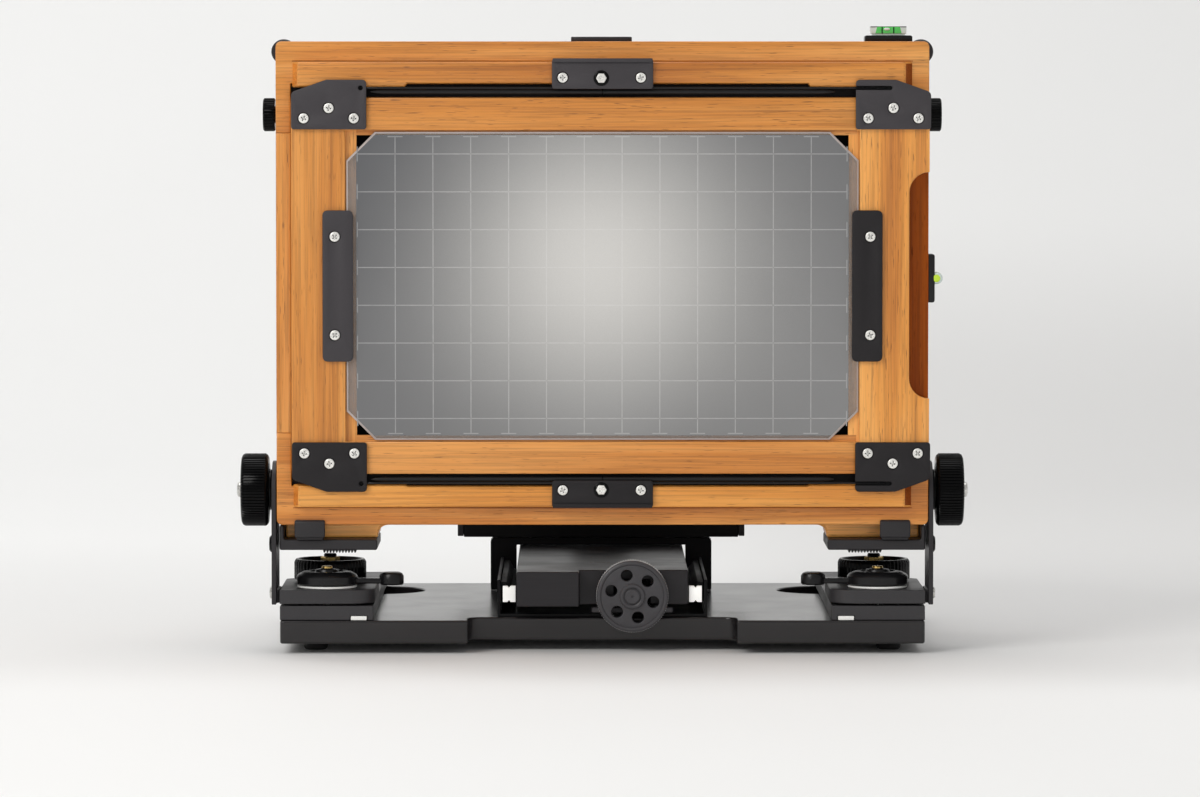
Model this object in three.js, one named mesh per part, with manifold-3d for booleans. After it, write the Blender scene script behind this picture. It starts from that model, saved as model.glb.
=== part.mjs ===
// A folding 5x8 inch field view camera, in millimetres.
// +X is to the right seen from behind the ground glass, +Y points from the glass to the lens, +Z is up.
// The origin lies on the table plane, under the middle of the base board.

import * as THREE from 'three';
import { mergeVertices } from 'three/addons/utils/BufferGeometryUtils.js';
import Module from 'manifold-3d';

const wasm = await Module();
wasm.setup();

// ---------------------------------------------------------------- driving dimensions

const GAP = 0.3; // running clearance between separate pieces

const BASE = { halfWidth: 129.5, depth: 188, bottom: 4, top: 13.4, recessHalfWidth: 54, recessDepth: 15.5 };
const FOOT = { radius: 5, x: 116, rearY: 22, frontY: 170 };
const PORT = { radius: 21.5, x: 96.5, y: 151 }; // round openings in the base board

const RAIL = { inner: 92, outer: 129.5, rear: 1, front: 176, top: 19.2 };
const STUD = { x: 111, radius: 2, leverY: 14, knobY: 45, top: 32.6 };
const SLOT_HALF = 2.8; // half width of the slot the studs run in
const BRACKET = { inner: 91.5, outer: 129.7, rear: 0.6, front: 62, bottom: 20, top: 25.6 };
const LEVER = { hubRadius: 12.3, reach: 26, bottom: 26.9, top: 33 };
const RIM_KNOB = { radius: 14.7, bottom: 26.2, top: 35 };

const PIVOT = { y: 14, z: 43.3 }; // tilt axis of the rear standard
const ARM = { inner: 130.9, outer: 132.7, width: 28.6, bottom: 19.8, top: 76.8 };
const TILT_KNOB = { z: 65.2, radius: 14.6, inner: 133, outer: 145.2 };

const BACK = { halfWidth: 130.6, bottom: 51.9, top: 245.4, thickness: 14, cornerRadius: 2 };
const RIB = { halfWidth: 124, height: 9, inset: 8, proud: 4 };
const CHANNEL = { left: -124.7, bottom: 72.3, top: 223.2, depth: 3 };
const SPRING = { halfLength: 93, height: 1.8, rear: -3.4, front: -1.9, fromEdge: 20.1 };

const GLASS_FRAME = { left: -124.4, right: 130.6, bottom: 72.6, top: 222.9, rear: -4 };
const WINDOW = { halfWidth: 98.3, bottom: 88, top: 208 };
const GLASS = { halfWidth: 102.3, bottom: 86.2, top: 209.3, rear: -3.8, front: -1.7, cornerCut: 11.4 };
const PLATE = { width: 30, height: 19.8, cutWidth: 14, cutHeight: 5, rear: -6, front: -4.1 };

const REAR_FRAME = { halfWidth: 127.6, rear: 14.3, front: 46, footBottom: 45.8, footInner: 90.4 };
const FOOT_BAR = { inner: 90.4, outer: 129.6, bottom: 41.6, rear: 2, front: 46 };

const AXIS_Z = 148.65; // height of the optical axis
const CARRIAGE = { halfWidth: 34.6, rear: 4, front: 166, bottom: 18.6, top: 32.6 };
const SCREW = { x: 12, z: 22.8, radius: 3, front: 106 };
const FOCUS_KNOB = { radius: 14.5, rear: 2.6, front: 11.5, holeRadius: 2.35, holeCircle: 8.7, holes: 6 };
const SADDLE = { halfWidth: 47, legInner: 36, rear: 148, front: 160, bottom: 13.8, top: 35.9 };

const STANDARD = { y: 154, halfDepth: 7, bottom: 36.3, barTop: 44, top: 190 };
const FRONT_ARM = { inner: 58.5, outer: 61 };
const RISE = { inner: 55.3, outer: 58, bottom: 72, top: 176 };
const FRONT_KNOB = { radius: 12, inner: 61.4, outer: 72 };
const LENS_FRAME = { halfWidth: 54.8, halfHeight: 56, rear: 147, front: 161, window: 42 };
const BOARD = { halfWidth: 48, halfHeight: 49.5, thickness: 3, hole: 21 };
const SHUTTER = { radius: 30, noseRadius: 27, rear: 161.5, shoulder: 175.7, front: 181, tube: 20.7, bore: 16 };
const BARREL = { radius: 24, bore: 19.5, rear: 181.3, front: 194 };
const BELLOWS = { rear: 46.3, front: 146.7, folds: 13, depth: 6, wall: 1.2, rearHalf: [104, 80], frontHalf: [41, 41] };

// ---------------------------------------------------------------- finishes

const finish = (color, roughness, metalness) => () =>
  new THREE.MeshStandardMaterial({ color, roughness, metalness });
const wood = finish(0xc8843f, 0.42, 0);
const blackMetal = finish(0x2c2b2d, 0.5, 0.6);
const blackKnob = finish(0x171718, 0.35, 0.5);
const laminate = finish(0x2a292b, 0.45, 0.1);
const steel = finish(0xc9c8c4, 0.28, 1);
const leather = finish(0x161515, 0.75, 0);
const rubber = finish(0x101010, 0.85, 0);
const groundGlass = finish(0x8c8f94, 0.6, 0);
const lensGlass = finish(0x22303c, 0.05, 0);

// ---------------------------------------------------------------- geometry helpers

const ALONG = {
  x: [new THREE.Vector3(0, 1, 0), new THREE.Vector3(0, 0, 1), new THREE.Vector3(1, 0, 0)],
  y: [new THREE.Vector3(1, 0, 0), new THREE.Vector3(0, 0, 1), new THREE.Vector3(0, -1, 0)],
  z: [new THREE.Vector3(1, 0, 0), new THREE.Vector3(0, 1, 0), new THREE.Vector3(0, 0, 1)],
};

// One closed mesh without repeated corners, faces pointing out.
function closed(geometry) {
  const bare = geometry.clone();
  bare.deleteAttribute('normal');
  bare.deleteAttribute('uv');
  const merged = mergeVertices(bare, 1e-4);
  const corner = new THREE.Vector3();
  const point = (n) => corner.clone().fromBufferAttribute(merged.attributes.position, n);
  const faces = [];
  let volume = 0;
  for (let i = 0; i < merged.index.count; i += 3) {
    const [a, b, c] = [0, 1, 2].map((k) => merged.index.getX(i + k));
    if (a === b || b === c || c === a) continue;
    faces.push([a, b, c]);
    volume += point(a).dot(point(b).cross(point(c)));
  }
  const turned = volume < 0 ? faces.map(([a, b, c]) => [a, c, b]) : faces;
  merged.setIndex(turned.flat());
  return merged;
}

function toSolid(geometry) {
  const mesh = closed(geometry);
  return new wasm.Manifold(new wasm.Mesh({
    numProp: 3,
    vertProperties: new Float32Array(mesh.attributes.position.array),
    triVerts: new Uint32Array(mesh.index.array),
  }));
}

function toGeometry(solid) {
  const mesh = solid.getMesh();
  const geometry = new THREE.BufferGeometry();
  geometry.setAttribute('position', new THREE.BufferAttribute(mesh.vertProperties, 3));
  geometry.setIndex(new THREE.BufferAttribute(mesh.triVerts, 1));
  return geometry;
}

const cut = (body, ...tools) =>
  toGeometry(tools.reduce((solid, tool) => solid.subtract(toSolid(tool)), toSolid(body)));
const join = (body, ...others) =>
  toGeometry(others.reduce((solid, other) => solid.add(toSolid(other)), toSolid(body)));

// A flat outline pulled straight from one place to another along an axis. The outline's two
// directions are the remaining axes in the order X, Y, Z.
function slab(shape, axis, from, to, curveSegments = 2) {
  const options = { depth: to - from, bevelEnabled: false, curveSegments };
  const geometry = new THREE.ExtrudeGeometry(shape, options);
  geometry.applyMatrix4(new THREE.Matrix4().makeBasis(...ALONG[axis]));
  const shift = axis === 'y' ? to : from;
  return geometry.translate(axis === 'x' ? shift : 0, axis === 'y' ? shift : 0, axis === 'z' ? shift : 0);
}

function block(x0, x1, y0, y1, z0, z1) {
  const geometry = new THREE.BoxGeometry(x1 - x0, y1 - y0, z1 - z0);
  return geometry.translate((x0 + x1) / 2, (y0 + y1) / 2, (z0 + z1) / 2);
}

// A turned piece: the profile lists [radius, place along the axis].
function turned(profile, axis, at, segments = 32) {
  const points = profile.map(([radius, along]) => new THREE.Vector2(radius, along));
  const geometry = new THREE.LatheGeometry(points, segments);
  if (axis === 'x') geometry.rotateZ(-Math.PI / 2);
  if (axis === 'z') geometry.rotateX(Math.PI / 2);
  return geometry.translate(...at);
}

const rod = (axis, at, radius, from, to, segments = 16) =>
  turned([[0, from], [radius, from], [radius, to], [0, to]], axis, at, segments);

const ring = (axis, at, inner, outer, from, to, segments = 32) =>
  turned([[inner, from], [outer, from], [outer, to], [inner, to], [inner, from]], axis, at, segments);

const outline = (...points) => new THREE.Shape(points.map(([a, b]) => new THREE.Vector2(a, b)));

function roundedRectangle(a0, a1, b0, b1, radius, Kind = THREE.Shape) {
  const path = new Kind();
  path.moveTo(a0 + radius, b0);
  path.absarc(a1 - radius, b0 + radius, radius, -Math.PI / 2, 0, false);
  path.absarc(a1 - radius, b1 - radius, radius, 0, Math.PI / 2, false);
  path.absarc(a0 + radius, b1 - radius, radius, Math.PI / 2, Math.PI, false);
  path.absarc(a0 + radius, b0 + radius, radius, Math.PI, Math.PI * 1.5, false);
  path.closePath();
  return path;
}

function circle(a, b, radius, Kind = THREE.Path) {
  const path = new Kind();
  for (const quarter of [0, 1, 2, 3]) {
    path.absarc(a, b, radius, (quarter * Math.PI) / 2, ((quarter + 1) * Math.PI) / 2, false);
  }
  return path;
}

const mirrored = (geometry) => closed(geometry.clone().scale(-1, 1, 1));

// ---------------------------------------------------------------- base

function baseBoard() {
  const { halfWidth, depth, recessHalfWidth, recessDepth } = BASE;
  const corner = 4;
  const fillet = 5;
  const shape = new THREE.Shape();
  shape.moveTo(-halfWidth + 1, 0);
  shape.lineTo(-recessHalfWidth, 0);
  shape.lineTo(-recessHalfWidth, recessDepth - fillet);
  shape.absarc(-recessHalfWidth + fillet, recessDepth - fillet, fillet, Math.PI, Math.PI / 2, true);
  shape.absarc(recessHalfWidth - fillet, recessDepth - fillet, fillet, Math.PI / 2, 0, true);
  shape.lineTo(recessHalfWidth, 0);
  shape.lineTo(halfWidth - 1, 0);
  shape.lineTo(halfWidth, 1);
  shape.absarc(halfWidth - corner, depth - corner, corner, 0, Math.PI / 2, false);
  shape.absarc(-halfWidth + corner, depth - corner, corner, Math.PI / 2, Math.PI, false);
  shape.lineTo(-halfWidth, 1);
  shape.closePath();
  for (const side of [-1, 1]) shape.holes.push(circle(side * PORT.x, PORT.y, PORT.radius));
  return slab(shape, 'z', BASE.bottom, BASE.top, 4);
}

function tripodSocket() {
  return ring('z', [0, BASE.depth / 2, 0], 4.8, 19, 1.2, BASE.bottom, 28);
}

function foot(side, y) {
  const profile = [[0, 0], [FOOT.radius - 1, 0], [FOOT.radius, 1], [FOOT.radius, 2.6], [3, 2.6], [3, 4], [0, 4]];
  return turned(profile, 'z', [side * FOOT.x, y, 0], 14);
}

function sideRail() {
  const { inner, outer, rear, front, top } = RAIL;
  const stripGroove = block(94.3, 101.3, rear - 1, front + 1, BASE.top - 1, 15.2);
  const nutPocket = block(STUD.x - 6.5, STUD.x + 6.5, 5, 92, BASE.top - 1, 16.4);
  const slot = roundedRectangle(STUD.x - SLOT_HALF, STUD.x + SLOT_HALF, 6, 91, SLOT_HALF - 0.01);
  return cut(block(inner, outer, rear, front, BASE.top, top), stripGroove, nutPocket,
    slab(slot, 'z', 16, top + 1));
}

// The bed under the focusing carriage: a thin floor, two guide walls and the screw's bearing post.
function focusBed() {
  const wall = { inner: 41.2, outer: 42.4, top: 28.4 };
  const [rear, front] = [17, 140];
  const channel = outline(
    [-wall.outer, BASE.top], [wall.outer, BASE.top], [wall.outer, wall.top], [wall.inner, wall.top],
    [wall.inner, BASE.top + 1.2], [-wall.inner, BASE.top + 1.2], [-wall.inner, wall.top], [-wall.outer, wall.top],
  );
  const post = block(SCREW.x - 6, SCREW.x + 6, 17.6, 23.6, BASE.top + 0.6, 27.4);
  const bore = rod('y', [SCREW.x, 0, SCREW.z], SCREW.radius + 0.35, 10, 30);
  return cut(join(slab(channel, 'y', rear, front), post), bore);
}

// ---------------------------------------------------------------- focusing

function focusKnob() {
  const { radius, rear, front, holeRadius, holeCircle, holes } = FOCUS_KNOB;
  const shape = circle(0, 0, radius, THREE.Shape);
  for (let i = 0; i < holes; i += 1) {
    const angle = ((i - 0.25) / holes) * Math.PI * 2;
    shape.holes.push(circle(Math.cos(angle) * holeCircle, Math.sin(angle) * holeCircle, holeRadius));
  }
  return slab(shape, 'y', rear, front, 3).translate(SCREW.x, 0, SCREW.z);
}

const leadScrew = () => rod('y', [SCREW.x, 0, SCREW.z], SCREW.radius, FOCUS_KNOB.front + 0.1, SCREW.front, 20);

const focusLockBar = () =>
  slab(roundedRectangle(SCREW.x - 16.5, SCREW.x + 16.5, 13.8, 16.8, 1.2), 'z', 15.4, 17.5);

function carriage() {
  const { halfWidth, rear, front, bottom, top } = CARRIAGE;
  const notch = block(-9.4, halfWidth + 1, rear - 1, 14.5, bottom - 1, top + 1);
  const bearingPocket = block(SCREW.x - 7, SCREW.x + 7, 14, 28, bottom - 1, top - 4);
  const channel = block(-halfWidth + 4, halfWidth - 4, 34, front - 4, bottom - 1, top - 4);
  const bore = rod('y', [SCREW.x, 0, SCREW.z], SCREW.radius + 0.35, 20, 40);
  return cut(block(-halfWidth, halfWidth, rear, front, bottom, top), notch, bearingPocket, channel, bore);
}

function saddle() {
  const { halfWidth, legInner, rear, front, bottom, top } = SADDLE;
  const under = CARRIAGE.top + GAP;
  const bevel = 1.2;
  const shape = outline(
    [-halfWidth, bottom], [-legInner, bottom], [-legInner, under], [legInner, under], [legInner, bottom],
    [halfWidth, bottom], [halfWidth, top - bevel], [halfWidth - bevel, top],
    [-halfWidth + bevel, top], [-halfWidth, top - bevel],
  );
  return slab(shape, 'y', rear, front);
}

// ---------------------------------------------------------------- front standard

function crossBar() {
  const half = FRONT_ARM.inner - 0.1;
  const { y, halfDepth, bottom, barTop } = STANDARD;
  const shape = roundedRectangle(-half, half, y - halfDepth, y + halfDepth, 1);
  shape.holes.push(circle(0, y, 3.4));
  return slab(shape, 'z', bottom, barTop);
}

function frontArm() {
  const { y, halfDepth, bottom, top } = STANDARD;
  const shape = new THREE.Shape();
  shape.moveTo(y - halfDepth, bottom + 0.4);
  shape.lineTo(y + halfDepth, bottom + 0.4);
  shape.absarc(y, top - halfDepth, halfDepth, 0, Math.PI, false);
  shape.closePath();
  shape.holes.push(roundedRectangle(y - 2.5, y + 2.5, 130.5, 182, 2.45, THREE.Path));
  return slab(shape, 'x', FRONT_ARM.inner, FRONT_ARM.outer);
}

// The U-shaped carrier that slides between the arms and holds the lens frame's pivots.
function riseBracket() {
  const { inner, outer, bottom, top } = RISE;
  const shape = outline(
    [-outer, top], [-outer, bottom], [outer, bottom], [outer, top], [inner, top],
    [inner, bottom + 3], [-inner, bottom + 3], [-inner, top],
  );
  return slab(shape, 'y', STANDARD.y - 5, STANDARD.y + 5);
}

function frontKnob() {
  const { radius, inner, outer } = FRONT_KNOB;
  const profile = [
    [0, RISE.outer + 0.1], [2, RISE.outer + 0.1], [2, inner], [7, inner], [7, inner + 2], [radius, inner + 2.6],
    [radius, outer - 1], [radius - 1, outer], [0, outer],
  ];
  return turned(profile, 'x', [0, STANDARD.y, AXIS_Z], 20);
}

function swingClampKnob() {
  const profile = [[0, 36.5], [3, 36.5], [3, 44.3], [9, 44.3], [9, 46], [13, 46.6], [13, 53], [12, 54], [0, 54]];
  return turned(profile, 'z', [0, STANDARD.y, 0], 20);
}

function lensFrame() {
  const { halfWidth, halfHeight, rear, front, window } = LENS_FRAME;
  const shape = roundedRectangle(-halfWidth, halfWidth, AXIS_Z - halfHeight, AXIS_Z + halfHeight, 5);
  shape.holes.push(roundedRectangle(-window, window, AXIS_Z - window, AXIS_Z + window, 2, THREE.Path));
  const [x, z] = [BOARD.halfWidth + GAP, BOARD.halfHeight + GAP];
  const seat = block(-x, x, front - BOARD.thickness, front + 1, AXIS_Z - z, AXIS_Z + z);
  return cut(slab(shape, 'y', rear, front), seat);
}

function lensBoard() {
  const { halfWidth, halfHeight, thickness, hole } = BOARD;
  const shape = roundedRectangle(-halfWidth, halfWidth, AXIS_Z - halfHeight, AXIS_Z + halfHeight, 3);
  shape.holes.push(circle(0, AXIS_Z, hole));
  const rear = LENS_FRAME.front - thickness + 0.1;
  return slab(shape, 'y', rear, rear + thickness, 3);
}

// ---------------------------------------------------------------- lens and shutter

function shutterBody() {
  const { radius, noseRadius, rear, shoulder, front, tube, bore } = SHUTTER;
  const profile = [
    [bore, 143], [tube - 2, 143], [tube, 145], [tube, rear], [radius, rear], [radius, shoulder],
    [noseRadius, shoulder], [noseRadius, front], [bore, front], [bore, 143],
  ];
  return turned(profile, 'y', [0, 0, AXIS_Z], 32);
}

const speedRing = () =>
  ring('y', [0, 0, AXIS_Z], SHUTTER.noseRadius + GAP, SHUTTER.radius + 0.8, SHUTTER.shoulder + GAP, 180.7, 32);

function frontBarrel() {
  const { radius, bore, rear, front } = BARREL;
  const profile = [
    [bore - 2, rear], [radius - 3, rear], [radius, rear + 4], [radius, front], [radius - 1.5, front],
    [bore, front - 5], [bore - 2, front - 11], [bore - 2, rear],
  ];
  return turned(profile, 'y', [0, 0, AXIS_Z], 32);
}

function frontElement() {
  const edge = 17.1;
  const [rear, rim, crown] = [183.4, 185.2, 189.4];
  const dome = [0.9, 0.75, 0.55, 0.3].map((r) => [edge * r, rim + (crown - rim) * (1 - r * r)]);
  return turned([[0, rear], [edge, rear], [edge, rim], ...dome, [0, crown]], 'y', [0, 0, AXIS_Z], 28);
}

// A flat lever that turns around the lens axis: a short rim with a finger tab at its middle.
function shutterLever(angle, rear, front, reach) {
  const [inner, outer] = [SHUTTER.radius + GAP, SHUTTER.radius + 2];
  const [rimHalf, tabHalf] = [0.3, 0.07];
  const shape = new THREE.Shape();
  shape.absarc(0, 0, inner, angle + rimHalf, angle - rimHalf, true);
  shape.absarc(0, 0, outer, angle - rimHalf, angle - tabHalf, false);
  shape.absarc(0, 0, reach, angle - tabHalf, angle + tabHalf, false);
  shape.absarc(0, 0, outer, angle + tabHalf, angle + rimHalf, false);
  shape.closePath();
  return slab(shape, 'y', rear, front).translate(0, 0, AXIS_Z);
}

// ---------------------------------------------------------------- rear brackets

// A clamp bar in the rail's pocket with two studs that carry the lock lever and the rimmed knob.
function shoe() {
  const bar = block(STUD.x - 6, STUD.x + 6, 9, 50, 13.6, 16.1);
  const studs = [STUD.leverY, STUD.knobY].map((y) => rod('z', [STUD.x, y, 0], STUD.radius, 15, STUD.top, 12));
  return join(bar, ...studs);
}

function bracketPlate() {
  const { inner, outer, rear, front, bottom, top } = BRACKET;
  const corner = 9.5;
  const shape = new THREE.Shape();
  shape.moveTo(outer, rear);
  shape.lineTo(outer, front - 3);
  shape.lineTo(outer - 3, front);
  shape.lineTo(inner + 6, front);
  shape.lineTo(inner, front - 6);
  shape.absarc(inner + corner, rear + corner, corner, Math.PI, Math.PI * 1.5, false);
  shape.closePath();
  for (const y of [STUD.leverY, STUD.knobY]) {
    shape.holes.push(roundedRectangle(STUD.x - 3.2, STUD.x + 3.2, y - 8.8, y + 8.8, 3.1, THREE.Path));
  }
  return slab(shape, 'z', bottom, top);
}

// The upright arm beside the back, with the pivot hole and the curved slot of the tilt clamp.
function sideArm() {
  const { inner, outer, width, bottom, top } = ARM;
  const corner = 13;
  const shape = new THREE.Shape();
  shape.moveTo(0, bottom);
  shape.lineTo(width, bottom);
  shape.absarc(width - corner, top - corner, corner, 0, Math.PI / 2, false);
  shape.absarc(corner, top - corner, corner, Math.PI / 2, Math.PI, false);
  shape.closePath();
  shape.holes.push(circle(PIVOT.y, PIVOT.z, 2.2));
  const reach = TILT_KNOB.z - PIVOT.z;
  const [low, high] = [Math.PI / 2 - 0.19, Math.PI / 2 + 0.37];
  const slot = new THREE.Path();
  slot.absarc(PIVOT.y, PIVOT.z, reach + 2.5, low, high, false);
  slot.absarc(PIVOT.y, PIVOT.z, reach - 2.5, high, low, true);
  slot.closePath();
  shape.holes.push(slot);
  const spacer = block(BRACKET.outer + 0.2, inner + 0.5, 4, 24, BRACKET.bottom + 0.2, BRACKET.top - 0.2);
  return join(slab(shape, 'x', inner, outer, 4), spacer);
}

function lockLever() {
  const { hubRadius, reach, bottom, top } = LEVER;
  const at = [STUD.x, STUD.leverY, 0];
  const bore = STUD.radius + 0.4;
  const hub = turned([
    [bore, bottom], [hubRadius, bottom], [hubRadius, bottom + 3.4], [hubRadius - 0.8, bottom + 4.4],
    [hubRadius - 2.4, top], [bore, top], [bore, bottom],
  ], 'z', at, 24);
  const [x, y] = [STUD.x - reach, STUD.leverY];
  const arm = block(x, x + reach - hubRadius + 1, y - 2.6, y + 2.6, 27.3, 29.6);
  const tip = rod('z', [x, y, 0], 4.9, 26.8, 32, 16);
  return join(hub, arm, tip);
}

function rimKnob() {
  const { radius, bottom, top } = RIM_KNOB;
  const bore = STUD.radius + 0.4;
  return turned([
    [bore, bottom], [radius - 0.6, bottom], [radius, bottom + 0.8], [radius, top], [radius - 1.8, top],
    [radius - 2.2, bottom + 3], [6, bottom + 3], [6, top - 2], [bore, top - 2], [bore, bottom],
  ], 'z', [STUD.x, STUD.knobY, 0], 24);
}

function tiltKnob() {
  const { z, radius, inner, outer } = TILT_KNOB;
  const profile = [
    [0, BACK.halfWidth + GAP], [2, BACK.halfWidth + GAP], [2, inner], [10.5, inner], [10.5, inner + 1],
    [radius - 0.8, inner + 1], [radius, inner + 1.8], [radius, outer - 1], [radius - 1, outer],
    [8.6, outer], [7.6, outer - 1.4], [0, outer - 1.4],
  ];
  return turned(profile, 'x', [0, PIVOT.y, z], 24);
}

// ---------------------------------------------------------------- rear standard

// The L-shaped metal foot under the wooden frame: a bar, and a cheek that takes pivot and clamp.
function footBar() {
  const { inner, outer, bottom, rear, front } = FOOT_BAR;
  const top = REAR_FRAME.footBottom;
  const bar = block(inner, outer - 1.5, rear, front, bottom, top);
  const behind = BACK.thickness + 0.6;
  const cheek = outline(
    [rear, bottom], [front, bottom], [front, 50], [30, 74], [behind, 74], [behind, BACK.bottom - GAP],
    [rear, BACK.bottom - GAP],
  );
  return join(bar, slab(cheek, 'x', outer - 1.7, outer));
}

function rearFrame() {
  const { halfWidth, rear, front, footBottom, footInner } = REAR_FRAME;
  const { bottom, top } = BACK;
  const [cove, corner] = [4, 8];
  const shape = new THREE.Shape();
  shape.moveTo(-halfWidth, footBottom);
  shape.lineTo(-footInner, footBottom);
  shape.absarc(-footInner + cove, bottom - cove, cove, Math.PI, Math.PI / 2, true);
  shape.absarc(footInner - cove, bottom - cove, cove, Math.PI / 2, 0, true);
  shape.lineTo(footInner, footBottom);
  shape.lineTo(halfWidth, footBottom);
  shape.absarc(halfWidth - corner, top - corner, corner, 0, Math.PI / 2, false);
  shape.absarc(-halfWidth + corner, top - corner, corner, Math.PI / 2, Math.PI, false);
  shape.closePath();
  shape.holes.push(roundedRectangle(-112, 112, 64, 233, 4, THREE.Path));
  return slab(shape, 'y', rear, front);
}

// The wooden back with its two raised ribs and the shallow channel the glass frame rests in.
function backPanel() {
  const { halfWidth, bottom, top, thickness, cornerRadius } = BACK;
  const shape = roundedRectangle(-halfWidth, halfWidth, bottom, top, cornerRadius);
  shape.holes.push(roundedRectangle(-101, 101, 86, 210, 2, THREE.Path));
  const channel = block(CHANNEL.left, halfWidth + 1, -1, CHANNEL.depth, CHANNEL.bottom, CHANNEL.top);
  const ribs = [top - RIB.inset - RIB.height, bottom + RIB.inset].map((z) =>
    slab(roundedRectangle(-RIB.halfWidth, RIB.halfWidth, z, z + RIB.height, 1), 'y', -RIB.proud, 0.5));
  return join(cut(slab(shape, 'y', 0, thickness), channel), ...ribs);
}

function spring(z) {
  const { halfLength, height, rear, front } = SPRING;
  return block(-halfLength, halfLength, rear, front, z - height / 2, z + height / 2);
}

function backLock() {
  const profile = [
    [0, REAR_FRAME.halfWidth + 0.2], [3.4, REAR_FRAME.halfWidth + 0.2], [3.4, 131.8], [6.1, 131.8], [6.7, 132.4],
    [6.7, 136], [6.1, 136.6], [0, 136.6],
  ];
  return turned(profile, 'x', [0, 22, 216.1], 20);
}

function topLevel() {
  const [left, right, z] = [105.6, 124.8, BACK.top];
  const shape = outline(
    [left, z], [right, z], [right, z + 2.6], [right - 2.4, z + 2.6], [right - 2.4, z + 6.2],
    [left + 2.4, z + 6.2], [left + 2.4, z + 2.6], [left, z + 2.6],
  );
  return slab(shape, 'y', 18, 27);
}

function sideLevel() {
  const [x, z] = [BACK.halfWidth, 150.6];
  const shape = outline(
    [x, z - 9.7], [x + 2.7, z - 9.7], [x + 2.7, z - 2.6], [x + 5, z - 2.2], [x + 6.2, z], [x + 5, z + 2.2],
    [x + 2.7, z + 2.6], [x + 2.7, z + 9.7], [x, z + 9.7],
  );
  return slab(shape, 'y', 3.4, 13);
}

// A pleated tapering tube, open at both ends. Its square turned form is spread to the full section.
function bellows() {
  const { rear, front, folds, depth, wall, rearHalf, frontHalf } = BELLOWS;
  const steps = folds * 2;
  const at = (i) => rear + ((front - rear) * i) / steps;
  const rise = (i) => (i % 2 ? depth : 0) + wall;
  const outside = Array.from({ length: steps + 1 }, (_, i) => [rise(i) + wall, at(i)]);
  const inside = Array.from({ length: steps + 1 }, (_, i) => [rise(steps - i), at(steps - i)]);
  const profile = [...outside, ...inside, outside[0]].map(([out, along]) => [out * Math.SQRT2, along]);
  const geometry = turned(profile, 'y', [0, 0, 0], 4).rotateY(Math.PI / 4);
  const place = geometry.attributes.position;
  for (let i = 0; i < place.count; i += 1) {
    const t = (place.getY(i) - rear) / (front - rear);
    const [halfX, halfZ] = [0, 1].map((k) => rearHalf[k] + (frontHalf[k] - rearHalf[k]) * t);
    place.setX(i, place.getX(i) + Math.sign(place.getX(i)) * halfX);
    place.setZ(i, place.getZ(i) + Math.sign(place.getZ(i)) * halfZ + AXIS_Z);
  }
  return geometry;
}

// ---------------------------------------------------------------- ground glass back

function glassFrame() {
  const { left, right, bottom, top, rear } = GLASS_FRAME;
  const shape = roundedRectangle(left, right, bottom, top, 1.2);
  const { halfWidth } = WINDOW;
  shape.holes.push(roundedRectangle(-halfWidth, halfWidth, WINDOW.bottom, WINDOW.top, 1, THREE.Path));
  const body = slab(shape, 'y', rear, CHANNEL.depth - GAP);
  const seat = block(-102.7, 102.7, rear - 1, -1.6, GLASS.bottom - 0.7, GLASS.top + 0.6);
  const fingerNotch = slab(roundedRectangle(122.6, 145, 102.7, 193.2, 8), 'y', rear - 1, CHANNEL.depth, 4);
  return cut(body, seat, fingerNotch);
}

function glassPane() {
  const { halfWidth, bottom, top, rear, front, cornerCut } = GLASS;
  const shape = outline(
    [-halfWidth + cornerCut, bottom], [halfWidth - cornerCut, bottom], [halfWidth, bottom + cornerCut],
    [halfWidth, top - cornerCut], [halfWidth - cornerCut, top], [-halfWidth + cornerCut, top],
    [-halfWidth, top - cornerCut], [-halfWidth, bottom + cornerCut],
  );
  return slab(shape, 'y', rear, front);
}

// A corner plate whose outer corner, away from the glass, is cut off. Side is -1 on the left.
function cornerPlate(side, level) {
  const { width, height, cutWidth, cutHeight, rear, front } = PLATE;
  const inner = side < 0 ? -94.2 : 101;
  const edge = level > 0 ? GLASS_FRAME.top - 12.6 : GLASS_FRAME.bottom + 12.7;
  const at = (a, b) => [inner + side * a, edge + level * b];
  const shape = outline(
    at(1, 0), at(width - 1, 0), at(width, 1), at(width, height - cutHeight), at(width - cutWidth, height),
    at(1.5, height), at(0, height - 1.5), at(0, 1),
  );
  return slab(shape, 'y', rear, front);
}

function glassClip() {
  return slab(roundedRectangle(99.6, 111.8, 117.6, 178, 2), 'y', PLATE.rear, PLATE.front);
}

// ---------------------------------------------------------------- assembly

const camera = new THREE.Group();
camera.position.y = -BASE.depth / 2;

function add(name, geometry, material) {
  const mesh = new THREE.Mesh(closed(geometry), material());
  mesh.name = name;
  camera.add(mesh);
}

function addPair(name, geometry, material) {
  add(`${name}_right`, geometry, material);
  add(`${name}_left`, mirrored(geometry), material);
}

add('base_board', baseBoard(), laminate);
add('tripod_socket', tripodSocket(), steel);
add('focus_bed', focusBed(), blackMetal);
addPair('side_rail', sideRail(), blackMetal);
for (const [end, y] of [['rear', FOOT.rearY], ['front', FOOT.frontY]]) {
  addPair(`foot_${end}`, foot(1, y), rubber);
}

add('focus_knob', focusKnob(), blackMetal);
add('lead_screw', leadScrew(), steel);
add('focus_lock_bar', focusLockBar(), blackMetal);
add('carriage', carriage(), blackMetal);
add('saddle', saddle(), blackMetal);

add('front_cross_bar', crossBar(), blackMetal);
addPair('front_arm', frontArm(), blackMetal);
add('rise_bracket', riseBracket(), blackMetal);
addPair('front_knob', frontKnob(), blackKnob);
add('swing_clamp_knob', swingClampKnob(), blackKnob);
add('lens_frame', lensFrame(), wood);
add('lens_board', lensBoard(), blackMetal);

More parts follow.
